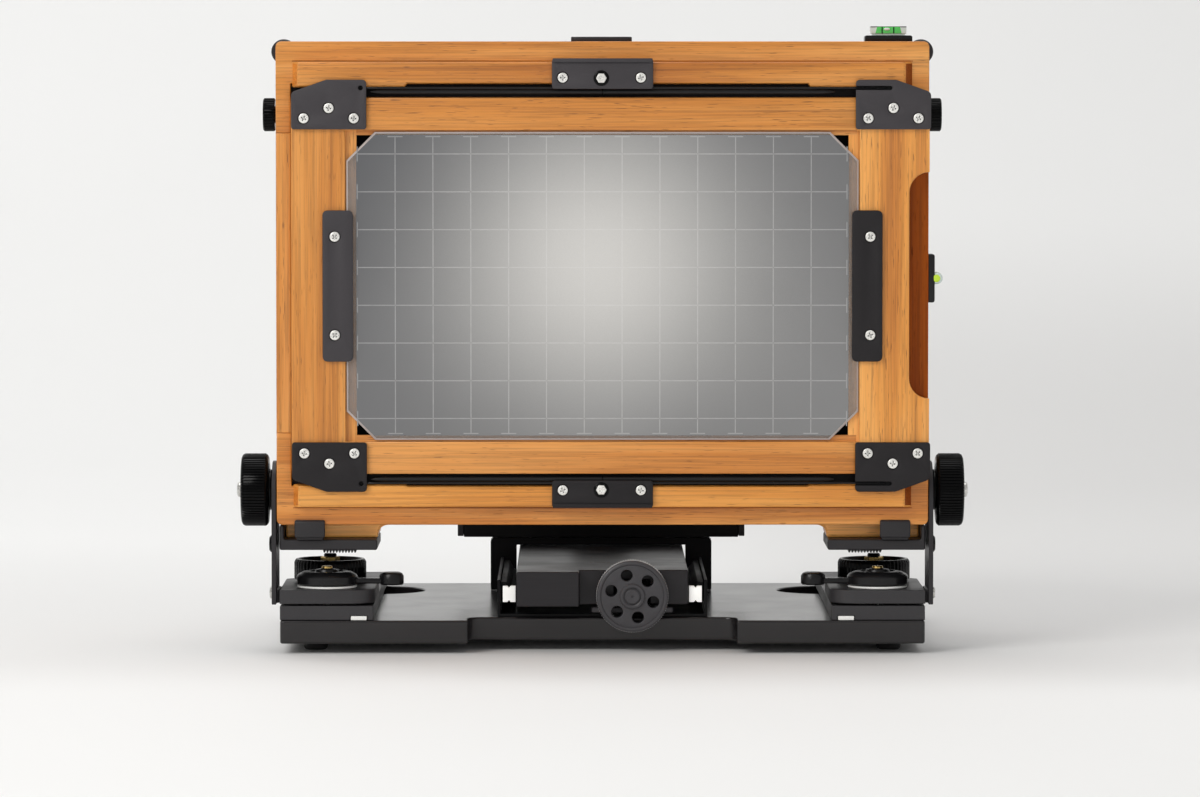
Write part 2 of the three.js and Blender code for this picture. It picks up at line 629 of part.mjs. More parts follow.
add('shutter_body', shutterBody(), blackMetal);
add('speed_ring', speedRing(), blackMetal);
add('front_barrel', frontBarrel(), blackKnob);
add('front_element', frontElement(), lensGlass);
add('aperture_lever', shutterLever(-Math.PI / 2, 164, 165.6, 37), blackMetal);
add('cocking_lever', shutterLever(Math.PI / 4, 169, 170.6, 38), steel);

addPair('shoe', shoe(), steel);
addPair('lock_lever', lockLever(), blackMetal);
addPair('rim_knob', rimKnob(), blackKnob);
addPair('bracket_plate', bracketPlate(), blackMetal);
addPair('side_arm', sideArm(), blackMetal);
addPair('tilt_knob', tiltKnob(), blackKnob);

addPair('foot_bar', footBar(), blackMetal);
add('rear_frame', rearFrame(), wood);
add('back_panel', backPanel(), wood);
addPair('back_lock', backLock(), blackKnob);
add('spring_top', spring(BACK.top - SPRING.fromEdge), steel);
add('spring_bottom', spring(BACK.bottom + SPRING.fromEdge - 1.6), steel);
add('level_top', topLevel(), blackMetal);
add('level_side', sideLevel(), blackMetal);
add('bellows', bellows(), leather);

add('glass_frame', glassFrame(), wood);
add('ground_glass', glassPane(), groundGlass);
addPair('glass_clip', glassClip(), blackMetal);
for (const [level, end] of [[1, 'top'], [-1, 'bottom']]) {
  add(`corner_plate_${end}_left`, cornerPlate(-1, level), blackMetal);
  add(`corner_plate_${end}_right`, cornerPlate(1, level), blackMetal);
}

export default camera;
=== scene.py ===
"""Looks of a folding wooden large format view camera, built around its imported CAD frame.

Lengths in the code are millimetres in the row frame (X right, Y towards the lens, Z up) until a mesh is made.
"""
import math
import random

import bmesh
import bpy
from mathutils import Matrix, Vector


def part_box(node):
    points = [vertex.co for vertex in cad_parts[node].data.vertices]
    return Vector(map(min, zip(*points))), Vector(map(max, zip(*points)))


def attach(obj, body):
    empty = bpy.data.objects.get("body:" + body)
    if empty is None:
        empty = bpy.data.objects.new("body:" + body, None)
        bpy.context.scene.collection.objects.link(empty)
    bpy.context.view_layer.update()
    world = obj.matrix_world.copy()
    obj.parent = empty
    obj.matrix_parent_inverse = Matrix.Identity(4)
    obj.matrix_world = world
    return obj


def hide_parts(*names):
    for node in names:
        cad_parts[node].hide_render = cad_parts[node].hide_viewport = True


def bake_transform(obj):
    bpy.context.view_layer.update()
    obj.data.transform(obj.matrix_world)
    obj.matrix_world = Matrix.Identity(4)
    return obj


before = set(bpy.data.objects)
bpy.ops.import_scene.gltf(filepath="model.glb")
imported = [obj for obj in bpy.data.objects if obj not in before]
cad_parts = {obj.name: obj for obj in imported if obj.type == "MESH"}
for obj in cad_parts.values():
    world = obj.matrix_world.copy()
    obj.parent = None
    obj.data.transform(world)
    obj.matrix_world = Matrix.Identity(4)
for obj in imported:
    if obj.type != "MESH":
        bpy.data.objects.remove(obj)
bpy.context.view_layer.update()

MM = 0.001
TAU = 2 * math.pi
random.seed(5)


class Box:
    """A CAD node's box in millimetres."""

    def __init__(self, node):
        low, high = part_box(node)
        self.x0, self.y0, self.z0 = [c / MM for c in low]
        self.x1, self.y1, self.z1 = [c / MM for c in high]
        self.cx, self.cy, self.cz = [(a + b) / 2 / MM for a, b in zip(low, high)]


# ------------------------------------------------------------------ materials

class Shader:
    """A node material with a few shorthands. Patterns use object coordinates in metres."""

    def __init__(self, name, base, rough, metal=0.0):
        self.mat = bpy.data.materials.new(name)
        self.mat.use_nodes = True
        self.mat.diffuse_color = (*base, 1)
        self.tree = self.mat.node_tree
        self.tree.nodes.clear()
        self.out = self.add("ShaderNodeOutputMaterial")
        self.bsdf = self.add("ShaderNodeBsdfPrincipled")
        self.link(self.bsdf.outputs[0], self.out.inputs[0])
        self.coord = self.add("ShaderNodeTexCoord").outputs["Object"]
        self.set("Base Color", (*base, 1))
        self.set("Roughness", rough)
        self.set("Metallic", metal)

    def add(self, kind, **props):
        node = self.tree.nodes.new(kind)
        for key, value in props.items():
            setattr(node, key, value)
        return node

    def link(self, a, b):
        self.tree.links.new(a, b)

    def put(self, socket, value):
        if isinstance(value, bpy.types.NodeSocket):
            self.link(value, socket)
        else:
            socket.default_value = value

    def set(self, name, value):
        self.put(self.bsdf.inputs[name], value)

    def noise(self, scale, detail=2.0, rough=0.5, offset=0.0, distortion=0.0):
        mapping = self.add("ShaderNodeMapping")
        self.link(self.coord, mapping.inputs["Vector"])
        mapping.inputs["Scale"].default_value = scale
        mapping.inputs["Location"].default_value = (offset, offset * 1.7, offset * 2.3)
        noise = self.add("ShaderNodeTexNoise")
        self.link(mapping.outputs[0], noise.inputs["Vector"])
        noise.inputs["Scale"].default_value = 1.0
        noise.inputs["Detail"].default_value = detail
        noise.inputs["Roughness"].default_value = rough
        noise.inputs["Distortion"].default_value = distortion
        return noise.outputs["Fac"]

    def ramp(self, fac, stops):
        node = self.add("ShaderNodeValToRGB")
        self.link(fac, node.inputs[0])
        elements = node.color_ramp.elements
        while len(elements) < len(stops):
            elements.new(0.5)
        for element, (at, colour) in zip(elements, stops):
            element.position = at
            element.color = (*colour, 1) if len(colour) == 3 else colour
        return node.outputs[0]

    def step(self, fac, low, high, bottom=0.0, top=1.0):
        node = self.add("ShaderNodeMapRange", interpolation_type="SMOOTHSTEP")
        self.put(node.inputs["Value"], fac)
        for key, value in (("From Min", low), ("From Max", high), ("To Min", bottom), ("To Max", top)):
            node.inputs[key].default_value = value
        return node.outputs[0]

    def math(self, operation, a, b=0.0):
        node = self.add("ShaderNodeMath", operation=operation)
        self.put(node.inputs[0], a)
        self.put(node.inputs[1], b)
        return node.outputs[0]

    def mix(self, fac, a, b, blend="MIX"):
        node = self.add("ShaderNodeMix", data_type="RGBA", blend_type=blend)
        self.put(node.inputs[0], fac)
        self.put(node.inputs[6], (*a, 1) if isinstance(a, tuple) and len(a) == 3 else a)
        self.put(node.inputs[7], (*b, 1) if isinstance(b, tuple) and len(b) == 3 else b)
        return node.outputs[2]

    def bump(self, height, distance, strength=1.0):
        node = self.add("ShaderNodeBump")
        self.link(height, node.inputs["Height"])
        node.inputs["Distance"].default_value = distance
        node.inputs["Strength"].default_value = strength
        self.set("Normal", node.outputs[0])

    def separate(self):
        node = self.add("ShaderNodeSeparateXYZ")
        self.link(self.coord, node.inputs[0])
        return node.outputs


LIGHT_WOOD = (0.76, 0.345, 0.085)
MID_WOOD = (0.62, 0.235, 0.038)
DEEP_WOOD = (0.44, 0.140, 0.018)
STREAK_WOOD = (0.20, 0.066, 0.014)
PORE_WOOD = (0.10, 0.034, 0.009)
# Darker, redder tint for the back's right stile: painted shade of the finger notch, whose walls show this wood.
NOTCH_SHADE = (0.50, 0.29, 0.04)  # tint of darker, redder pieces
# Rib end faces: the left ends in painted warm light, the right ends darker end grain plus painted shade, as the light
# falls from the left.
SHADED_END_GRAIN = (0.36, 0.18, 0.07)
WARM_LIT_END = (1.0, 0.82, 0.55)
PALE_TEAK = (1.18, 1.24, 1.28)
# Brightening of the wood under the back panel: painted light, as it sits in the panel's shadow.
LEG_PAINTED_LIGHT = (1.50, 1.72, 2.1)


def wood_colour(s, grain, seed, tint=None):
    """Colour and height of straight-grained oiled teak along one axis."""
    def stretched(along, across):
        return tuple(along if axis == grain else across for axis in "xyz")
    figure = s.noise(stretched(4, 75), 3, 0.55, seed, 0.6)
    fibre = s.noise(stretched(26, 1500), 3, 0.6, seed + 1)
    streak = s.noise(stretched(3.5, 260), 3, 0.5, seed + 2, 0.4)
    pore = s.noise(stretched(150, 2600), 1, 0.4, seed + 3)
    colour = s.ramp(figure, [(0.28, DEEP_WOOD), (0.46, MID_WOOD), (0.68, LIGHT_WOOD)])
    fine = s.step(fibre, 0.3, 0.7, 0.74, 1.10)
    colour = s.mix(1.0, colour, s.ramp(fine, [(0.0, (0, 0, 0)), (1.0, (1, 1, 1))]), "MULTIPLY")
    colour = s.mix(s.step(streak, 0.60, 0.74, 0.0, 0.62), colour, STREAK_WOOD)
    colour = s.mix(s.step(pore, 0.66, 0.76, 0.0, 0.6), colour, PORE_WOOD)
    if tint:
        colour = s.mix(1.0, colour, tint, "MULTIPLY")
    height = s.math("SUBTRACT", s.math("MULTIPLY", fibre, 0.35), s.step(pore, 0.62, 0.74))
    return colour, height


def wood_finish(s, colour, height, gloss=1.0):
    s.set("Base Color", colour)
    s.set("Roughness", s.step(height, -0.6, 0.3, 0.52, 0.36))
    s.set("Specular IOR Level", 0.5 * gloss)
    s.set("Coat Weight", 0.12 * gloss)
    s.set("Coat Roughness", 0.2)
    s.bump(height, 0.00006, 0.8)
    return s.mat


def wood(name, grain, seed, tint=None):
    s = Shader(name, MID_WOOD, 0.42)
    # Tints that stand for painted shade also get a duller finish.
    dull = tint in (NOTCH_SHADE, SHADED_END_GRAIN)
    return wood_finish(s, *wood_colour(s, grain, seed, tint), 0.25 if dull else 1.0)


def framed_wood(name, seed, stile, bottom, top, painted_lift=None):
    """Wood of a joined frame: upright grain where |x| > stile between bottom and top, level grain elsewhere.

    Below the bottom the wood is multiplied by the given factors: painted light that lifts wood sitting in the shade of
    the parts above."""
    s = Shader(name, MID_WOOD, 0.42)
    level, level_height = wood_colour(s, "x", seed)
    upright, upright_height = wood_colour(s, "z", seed + 7)
    x, _, z = s.separate()
    beside = s.math("GREATER_THAN", s.math("ABSOLUTE", x), stile * MM)
    above = s.math("GREATER_THAN", z, bottom * MM)
    below = s.math("LESS_THAN", z, top * MM)
    mask = s.math("MULTIPLY", beside, s.math("MULTIPLY", above, below))
    colour = s.mix(mask, level, upright)
    if painted_lift:
        colour = s.mix(s.math("LESS_THAN", z, (bottom - 0.5) * MM), colour,
                       s.mix(1.0, colour, painted_lift, "MULTIPLY"))
    height = s.math("ADD", s.math("MULTIPLY", upright_height, mask),
                    s.math("MULTIPLY", level_height, s.math("SUBTRACT", 1.0, mask)))
    return wood_finish(s, colour, height)


def anodised(name, base, rough, metal=0.0, grain=(2600, 2600, 2600), bump=0.00002, spread=0.3, spec=0.35):
    """Blasted or brushed anodised aluminium: fine tooth, faint cloudiness, lighter rubbed spots."""
    s = Shader(name, base, rough, metal)
    tooth = s.noise(grain, 2, 0.6, 3.1)
    cloud = s.noise((35, 35, 35), 3, 0.5, 9.0)
    low = tuple(c * (1 - spread) for c in base)
    high = tuple(c * (1 + spread) + 0.002 for c in base)
    s.set("Base Color", s.mix(s.math("MULTIPLY", s.math("ADD", tooth, cloud), 0.5), low, high))
    s.set("Roughness", s.step(cloud, 0.3, 0.7, rough - 0.05, rough + 0.06))
    s.set("Specular IOR Level", spec)
    s.bump(tooth, bump, 0.7)
    return s.mat


def metal(name, base, rough, grain=(400, 5000, 400), metallic=1.0):
    """Bright turned or drawn metal with fine tool marks."""
    s = Shader(name, base, rough, metallic)
    marks = s.noise(grain, 2, 0.5, 5.0)
    stain = s.noise((160, 160, 160), 2, 0.5, 2.0)
    s.set("Base Color", s.mix(s.step(stain, 0.35, 0.75, 0.0, 0.35), base, tuple(c * 0.6 for c in base)))
    s.set("Roughness", s.step(marks, 0.3, 0.7, rough * 0.8, rough * 1.3))
    s.bump(marks, 0.000012, 0.5)
    return s.mat


def laminate_material():
    """Black fibre laminate with a fine crossed cloth under the resin."""
    s = Shader("fibre_laminate", (0.012, 0.0105, 0.011), 0.24)
    warp = s.noise((1500, 260, 1500), 2, 0.5, 4.0)
    weft = s.noise((260, 1500, 1500), 2, 0.5, 7.0)
    cloud = s.noise((45, 45, 45), 2, 0.5, 4.0)
    cloth = s.math("MULTIPLY", s.math("ADD", warp, weft), 0.5)
    s.set("Base Color", s.mix(s.step(cloth, 0.35, 0.65), (0.0085, 0.0072, 0.0079), (0.0130, 0.0112, 0.0120)))
    s.set("Roughness", s.step(cloud, 0.2, 0.8, 0.21, 0.25))
    s.set("Specular IOR Level", 0.52)
    s.bump(cloth, 0.000012, 0.5)
    return s.mat


def leather_material():
    s = Shader("bellows_leather", (0.016, 0.015, 0.015), 0.62)
    voronoi = s.add("ShaderNodeTexVoronoi", feature="DISTANCE_TO_EDGE")
    s.link(s.coord, voronoi.inputs["Vector"])
    voronoi.inputs["Scale"].default_value = 1300
    pebble = s.step(voronoi.outputs["Distance"], 0.0, 0.25)
    cloud = s.noise((70, 70, 70), 4, 0.6, 8.0)
    colour = s.mix(cloud, (0.010, 0.0095, 0.0095), (0.030, 0.028, 0.027))
    s.set("Base Color", s.mix(s.math("MULTIPLY", s.math("SUBTRACT", 1.0, pebble), 0.5), colour, (0.006, 0.006, 0.006)))
    s.set("Roughness", s.step(cloud, 0.3, 0.7, 0.5, 0.72))
    s.bump(pebble, 0.00005, 0.6)
    return s.mat


def plastic(name, base, rough, spread=0.12, bump=0.00001):
    s = Shader(name, base, rough)
    cloud = s.noise((220, 220, 220), 3, 0.5, 6.0)
    fine = s.noise((1800, 1800, 1800), 2, 0.5, 2.0)
    low = tuple(c * (1 - spread) for c in base)
    s.set("Base Color", s.mix(cloud, low, base))
    s.set("Roughness", s.step(fine, 0.3, 0.7, rough * 0.85, rough * 1.15))
    s.bump(fine, bump, 0.5)
    return s.mat


GLOW = {"x": -2.0, "z": 160.0, "spread": 41.0, "strength": 0.50, "floor": 0.06, "right": 0.055}
GLOW_TINT = (1.0, 0.966, 0.90, 1)


def lens_glow(s):
    """The soft spot that the lens throws on the ground glass, painted as an emission strength, with a faint painted
    glow added towards the bottom and towards the right.
    """
    x, _, z = s.separate()
    dx = s.math("SUBTRACT", x, GLOW["x"] * MM)
    dz = s.math("SUBTRACT", z, GLOW["z"] * MM)
    square = s.math("ADD", s.math("MULTIPLY", dx, dx), s.math("MULTIPLY", dz, dz))
    spot = s.math("EXPONENT", s.math("MULTIPLY", square, -0.5 / (GLOW["spread"] * MM) ** 2))
    lower = s.step(z, 0.085, 0.210, GLOW["floor"], 0.0)
    beside = s.step(x, 0.020, 0.100, 0.0, GLOW["right"])
    return s.math("ADD", s.math("MULTIPLY", spot, GLOW["strength"]), s.math("ADD", lower, beside))


def ground_glass_material(window):
    """Ground glass over the dark bellows, with the lens's glow, and clearer where the wood ledge shows through."""
    x0, x1, z0, z1 = window
    s = Shader("ground_glass", (0.09, 0.092, 0.10), 0.42)
    x, _, z = s.separate()
    tooth = s.noise((3000, 3000, 3000), 2, 0.5, 1.0)
    smear = s.noise((22, 22, 22), 2, 0.5, 4.0)
    s.set("Base Color", s.mix(smear, (0.072, 0.075, 0.082), (0.096, 0.099, 0.107)))
    s.set("Emission Color", GLOW_TINT)
    s.set("Emission Strength", s.math("MULTIPLY", lens_glow(s), s.step(tooth, 0.2, 0.8, 0.97, 1.03)))
    s.set("Specular IOR Level", 0.35)
    s.bump(tooth, 0.000008, 0.4)
    inside = [s.math("GREATER_THAN", x, x0 * MM), s.math("LESS_THAN", x, x1 * MM),
              s.math("GREATER_THAN", z, z0 * MM), s.math("LESS_THAN", z, z1 * MM)]
    mask = inside[0]
    for part in inside[1:]:
        mask = s.math("MULTIPLY", mask, part)
    clear = s.add("ShaderNodeBsdfTransparent")
    clear.inputs[0].default_value = (0.96, 0.96, 0.96, 1)
    frost = s.add("ShaderNodeMixShader")
    s.put(frost.inputs[0], 0.32)
    s.link(clear.outputs[0], frost.inputs[1])
    haze = s.add("ShaderNodeBsdfPrincipled")
    haze.inputs["Base Color"].default_value = (0.36, 0.35, 0.34, 1)
    haze.inputs["Roughness"].default_value = 0.3
    s.link(haze.outputs[0], frost.inputs[2])
    choose = s.add("ShaderNodeMixShader")
    s.link(mask, choose.inputs[0])
    s.link(frost.outputs[0], choose.inputs[1])
    s.link(s.bsdf.outputs[0], choose.inputs[2])
    s.link(choose.outputs[0], s.out.inputs[0])
    return s.mat


def ruling_material():
    """Ruled lines on the ground glass, lit from behind like the glass round them."""
    s = Shader("ruling", (0.25, 0.25, 0.255), 0.5)
    worn = s.noise((300, 300, 300), 2, 0.5, 2.0)
    s.set("Base Color", s.mix(worn, (0.19, 0.19, 0.195), (0.29, 0.29, 0.295)))
    s.set("Emission Color", GLOW_TINT)
    s.set("Emission Strength", s.math("MULTIPLY", lens_glow(s), 0.74))
    return s.mat


def lens_glass_material():
    s = Shader("lens_glass", (0.008, 0.010, 0.016), 0.04)
    facing = s.add("ShaderNodeLayerWeight")
    facing.inputs[0].default_value = 0.35
    smear = s.noise((90, 90, 90), 2, 0.5, 3.0)
    s.set("Base Color", s.mix(facing.outputs["Facing"], (0.020, 0.006, 0.030), (0.004, 0.014, 0.030)))
    s.set("Coat Weight", 1.0)
    s.set("Coat Tint", (0.75, 0.6, 1.0, 1))
    s.set("Roughness", s.step(smear, 0.3, 0.7, 0.03, 0.07))
    return s.mat


BLACK = anodised("black_metal", (0.020, 0.0185, 0.0205), 0.46)
# Plate black in two copies: the darker one is painted shade for the plates lower down and on the right, as the light
# falls from the upper left.
PLATE_SHADED = anodised("plate_shaded", (0.016, 0.0142, 0.0155), 0.5, spec=0.22)
PLATE_BLACK = anodised("plate_black", (0.040, 0.036, 0.040), 0.5)
BRACKET = anodised("bracket_black", (0.034, 0.0325, 0.035), 0.46)
DARK = anodised("matt_black", (0.004, 0.004, 0.0045), 0.5, spec=0.14)
BRUSHED = anodised("brushed_black", (0.017, 0.0155, 0.0175), 0.34, 0.2, (60, 3200, 3200), 0.000025)
KNOB = anodised("black_knob", (0.0009, 0.0009, 0.0011), 0.20, spec=0.13)
LEVER = anodised("lever_black", (0.006, 0.0058, 0.0065), 0.30, spec=0.30)
SHUTTER = anodised("shutter_black", (0.006, 0.006, 0.0065), 0.36)
SATIN_GREY = anodised("satin_grey", (0.052, 0.050, 0.054), 0.38, 0.2)
SPRING = anodised("spring_steel", (0.013, 0.013, 0.014), 0.34, 0.3, (60, 2500, 2500), spec=0.3)
LAMINATE = laminate_material()
LEATHER = leather_material()
RUBBER = plastic("rubber", (0.012, 0.012, 0.012), 0.7, 0.3, 0.00004)
NYLON = plastic("nylon", (0.90, 0.90, 0.87), 0.4)
RULING = ruling_material()
# White ends of the guide strips: an emission gives them a painted glow, so they read bright though they sit in shade.
GLOWING_GUIDE = plastic("nylon_guide", (0.97, 0.97, 0.94), 0.4)
GLOWING_GUIDE.node_tree.nodes["Principled BSDF"].inputs["Emission Color"].default_value = (1.0, 0.99, 0.95, 1)
GLOWING_GUIDE.node_tree.nodes["Principled BSDF"].inputs["Emission Strength"].default_value = 0.28
MARKING = plastic("marking", (0.13, 0.10, 0.085), 0.5)
WHITE_MARK = plastic("white_mark", (0.72, 0.72, 0.70), 0.5)
GLASS_EDGE = plastic("glass_edge", (0.46, 0.41, 0.39), 0.2)
CLEAR_BLOCK = plastic("clear_block", (0.62, 0.70, 0.66), 0.12)
VIAL = plastic("vial_green", (0.10, 0.62, 0.12), 0.15, 0.35)
VIAL_YELLOW = plastic("vial_yellow", (0.60, 0.85, 0.05), 0.15, 0.3)
STEEL = metal("steel", (0.72, 0.71, 0.68), 0.26)
SCREW_STEEL = metal("screw_steel", (0.86, 0.85, 0.81), 0.30, (2200, 2200, 2200), 0.5)
# Light grey knurled rim: a grey metal, made lighter as painted highlight for the glints the ridges catch at the rim's
# top edge.
KNURL_GREY_HIGHLIGHT = metal("knurl_grey", (0.62, 0.62, 0.63), 0.36, metallic=0.3)
BRASS = metal("brass", (0.75, 0.52, 0.18), 0.28)
LENS_GLASS = lens_glass_material()


# ------------------------------------------------------------------ shapes

def place(axis, along, u, v):
    """A point from its distance along an axis and its two other coordinates, in the order X, Y, Z."""
    if axis == "x":
        return (along, u, v)
    if axis == "y":
        return (u, along, v)
    return (u, v, along)


def arc(cx, cy, radius, start, end, count):
    return [(cx + radius * math.cos(start + (end - start) * i / count),
             cy + radius * math.sin(start + (end - start) * i / count)) for i in range(count + 1)]


def circle(cx, cy, radius, count=28):
    return arc(cx, cy, radius, 0, TAU, count)[:-1]


def rectangle(x0, x1, y0, y1):
    return [(x0, y0), (x1, y0), (x1, y1), (x0, y1)]


def rounded(points, radius, count=4):
    """The outline with each corner turned into an arc of about that radius."""
    out = []
    n = len(points)
    for i, corner in enumerate(points):
        r = radius[i] if isinstance(radius, (list, tuple)) else radius
        p = Vector(corner)
        a, b = Vector(points[i - 1]) - p, Vector(points[(i + 1) % n]) - p
        half = a.angle(b) / 2
        if r <= 0 or half > 1.54:
            out.append(tuple(p))
            continue
        reach = min(r / math.tan(half), a.length * 0.49, b.length * 0.49)
        p0, p1 = p + a.normalized() * reach, p + b.normalized() * reach
        for k in range(count + 1):
            t = k / count
            out.append(tuple((1 - t) ** 2 * p0 + 2 * t * (1 - t) * (p * 0.86 + (p0 + p1) * 0.07) + t * t * p1))
    return out


class Piece:
    """One visible piece: solids are added in millimetres, then it becomes a mesh that rides on a body."""

    def __init__(self, name, body, slot, *materials, replaces=()):
        self.name, self.body, self.slot_name = name, body, slot
        self.materials, self.replaced = materials, replaces
        self.bm = bmesh.new()

    def take(self, bm, material=0, flip=False):
        """Moves the faces of another mesh into this piece."""
        bmesh.ops.recalc_face_normals(bm, faces=bm.faces)
        new = {v: self.bm.verts.new(v.co) for v in bm.verts}
        for face in bm.faces:
            made = self.bm.faces.new([new[v] for v in face.verts])
            made.material_index = material if material is not None else face.material_index
        bm.free()
        return self

    def block(self, x0, x1, y0, y1, z0, z1, bevel=0.4, segments=2, material=0):
        bm = bmesh.new()
        corners = [(x, y, z) for x in (x0, x1) for y in (y0, y1) for z in (z0, z1)]
        v = [bm.verts.new(c) for c in corners]
        for face in ((0, 1, 3, 2), (4, 6, 7, 5), (0, 4, 5, 1), (2, 3, 7, 6), (0, 2, 6, 4), (1, 5, 7, 3)):
            bm.faces.new([v[i] for i in face])
        bmesh.ops.bevel(bm, geom=bm.edges[:], offset=bevel, segments=segments, profile=0.6, affect="EDGES")
        return self.take(bm, material)

    def prism(self, outline, axis, low, high, holes=(), bevel=0.0, ends="both", segments=2, material=0):
        """A flat outline, with holes, pulled along an axis. Its chosen end edges are rounded."""
        bm = bmesh.new()
        rims = {low: [], high: []}
        for loop in (outline, *holes):
            rings = {at: [bm.verts.new(place(axis, at, u, v)) for u, v in loop] for at in (low, high)}
            n = len(loop)
            for i in range(n):
                j = (i + 1) % n
                bm.faces.new((rings[low][i], rings[low][j], rings[high][j], rings[high][i]))
            for at in (low, high):
                rims[at].append(rings[at])
        normal = Vector(place(axis, 1, 0, 0))
        for at in (low, high):
            if holes:
                edges = [bm.edges.get((ring[i - 1], ring[i])) for ring in rims[at] for i in range(len(ring))]
                bmesh.ops.triangle_fill(bm, use_beauty=True, use_dissolve=False, edges=edges, normal=normal)
            else:
                bm.faces.new(rims[at][0])
        bmesh.ops.recalc_face_normals(bm, faces=bm.faces)
        if bevel > 0:
            wanted = {"both": (low, high), "low": (low,), "high": (high,)}[ends]
            edges = [bm.edges.get((ring[i - 1], ring[i])) for at in wanted for ring in rims[at]
                     for i in range(len(ring))]
            bmesh.ops.bevel(bm, geom=edges, offset=bevel, segments=segments, profile=0.5, affect="EDGES",
                            clamp_overlap=False)
        return self.take(bm, material)

    def lathe(self, profile, axis, centre, count=48, ridges=0, depth=0.0, material=0, phase=0.0):
        """Turns (radius, along, ribbed) points round an axis. Ribbed points follow the ridges of a knurl."""
        bm = bmesh.new()
        n = ridges * 4 if ridges else count
        u0, v0 = centre
        rings = []
        for radius, along, *ribbed in profile:
            if radius < 1e-6:
                rings.append([bm.verts.new(place(axis, along, u0, v0))])
                continue
            ring = []
            for k in range(n):
                r = radius - (depth if ribbed and ribbed[0] and ridges and k % 4 > 1 else 0)
                angle = phase + TAU * k / n
                ring.append(bm.verts.new(place(axis, along, u0 + r * math.cos(angle), v0 + r * math.sin(angle))))
            rings.append(ring)
        closed = len(rings[0]) > 1
        pairs = list(zip(rings, rings[1:] + rings[:1])) if closed else list(zip(rings, rings[1:]))
        for a, b in pairs:
            for k in range(n):
                m = (k + 1) % n
                if len(a) == 1 and len(b) == 1:
                    break
                if len(a) == 1:
                    bm.faces.new((a[0], b[k], b[m]))
                elif len(b) == 1:
                    bm.faces.new((a[k], a[m], b[0]))
                else:
                    bm.faces.new((a[k], a[m], b[m], b[k]))
        return self.take(bm, material)

    def tube(self, points, radius, count=10, material=0):
        """A round wire along points, closed at both ends. Radius is one number or one per point."""
        bm = bmesh.new()
        path = [Vector(p) for p in points]
        radii = radius if isinstance(radius, (list, tuple)) else [radius] * len(path)
        rings = []
        side = None
        for i, p in enumerate(path):
            ahead = (path[min(i + 1, len(path) - 1)] - path[max(i - 1, 0)]).normalized()
            if side is None:
                side = ahead.orthogonal().normalized()
            side = (side - ahead * side.dot(ahead)).normalized()
            other = ahead.cross(side)
            rings.append([bm.verts.new(p + (side * math.cos(TAU * k / count) + other * math.sin(TAU * k / count))
                                       * radii[i]) for k in range(count)])
        for a, b in zip(rings, rings[1:]):
            for k in range(count):
                m = (k + 1) % count
                bm.faces.new((a[k], a[m], b[m], b[k]))
        bm.faces.new(rings[0])
        bm.faces.new(rings[-1])
        return self.take(bm, material)

    def screw(self, axis, sign, at, u, v, radius=2.05, material=0, dark=0, turn=0.0, sunk=1.6, rise=0.3):
        """A cross-recessed screw head at height `at`, facing along sign * axis, in a dark seat: the walls of the seat
        and of the cross recess take the dark material, painted shade.
        """
        bm = bmesh.new()
        rim, deep = radius * 0.84, 0.7
        arm, half = radius * 0.54, radius * 0.13

        def level(points, along):
            return [bm.verts.new(place(axis, at + sign * along, u + a, v + b)) for a, b in points]
        cross = []
        for q in range(4):
            c, s_ = math.cos(turn + q * TAU / 4), math.sin(turn + q * TAU / 4)
            for a, b in ((half, half), (arm, half), (arm, -half)):
                cross.append((a * c - b * s_, a * s_ + b * c))
        cross.sort(key=lambda p: math.atan2(p[1], p[0]))
        seat = radius * 1.15
        skirt = [level(circle(0, 0, r, 28), z) for r, z in (
            (seat, -sunk), (seat, -0.45), (radius, -0.4), (radius, rise * 0.25), (radius * 0.94, rise * 0.7),
            (rim, rise))]
        top = level(cross, rise)
        pit = level([(a * 0.62, b * 0.8) for a, b in cross], rise - deep)
        for a, b in (*zip(skirt, skirt[1:]), (top, pit)):
            in_shade = a in (skirt[0], skirt[1], top)
            for i in range(len(a)):
                bm.faces.new((a[i - 1], a[i], b[i], b[i - 1])).material_index = dark if in_shade else material
        bm.faces.new(skirt[0]).material_index = dark
        bm.faces.new(pit).material_index = material
        edges = [bm.edges.get((ring[i - 1], ring[i])) or bm.edges.new((ring[i - 1], ring[i]))
                 for ring in (skirt[-1], top) for i in range(len(ring))]
        face = bmesh.ops.triangle_fill(bm, use_beauty=True, use_dissolve=False, edges=edges,
                                       normal=Vector(place(axis, sign, 0, 0)))
        for part in face["geom"]:
            if isinstance(part, bmesh.types.BMFace):
                part.material_index = material
        return self.take(bm, None)

    def done(self, smooth=32):
        mesh = bpy.data.meshes.new(self.name)
        self.bm.transform(Matrix.Scale(MM, 4))
        bmesh.ops.recalc_face_normals(self.bm, faces=self.bm.faces)
        self.bm.to_mesh(mesh)
        self.bm.free()
        for material in self.materials:
            mesh.materials.append(material)
        mesh.polygons.foreach_set("use_smooth", [True] * len(mesh.polygons))
        mesh.set_sharp_from_angle(angle=math.radians(smooth))
        obj = bpy.data.objects.new(self.name, mesh)
        bpy.context.scene.collection.objects.link(obj)
        if self.replaced:
            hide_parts(*self.replaced)
        if isinstance(self.body, str):
            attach(obj, self.body)
        else:
            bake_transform(obj)
        return obj


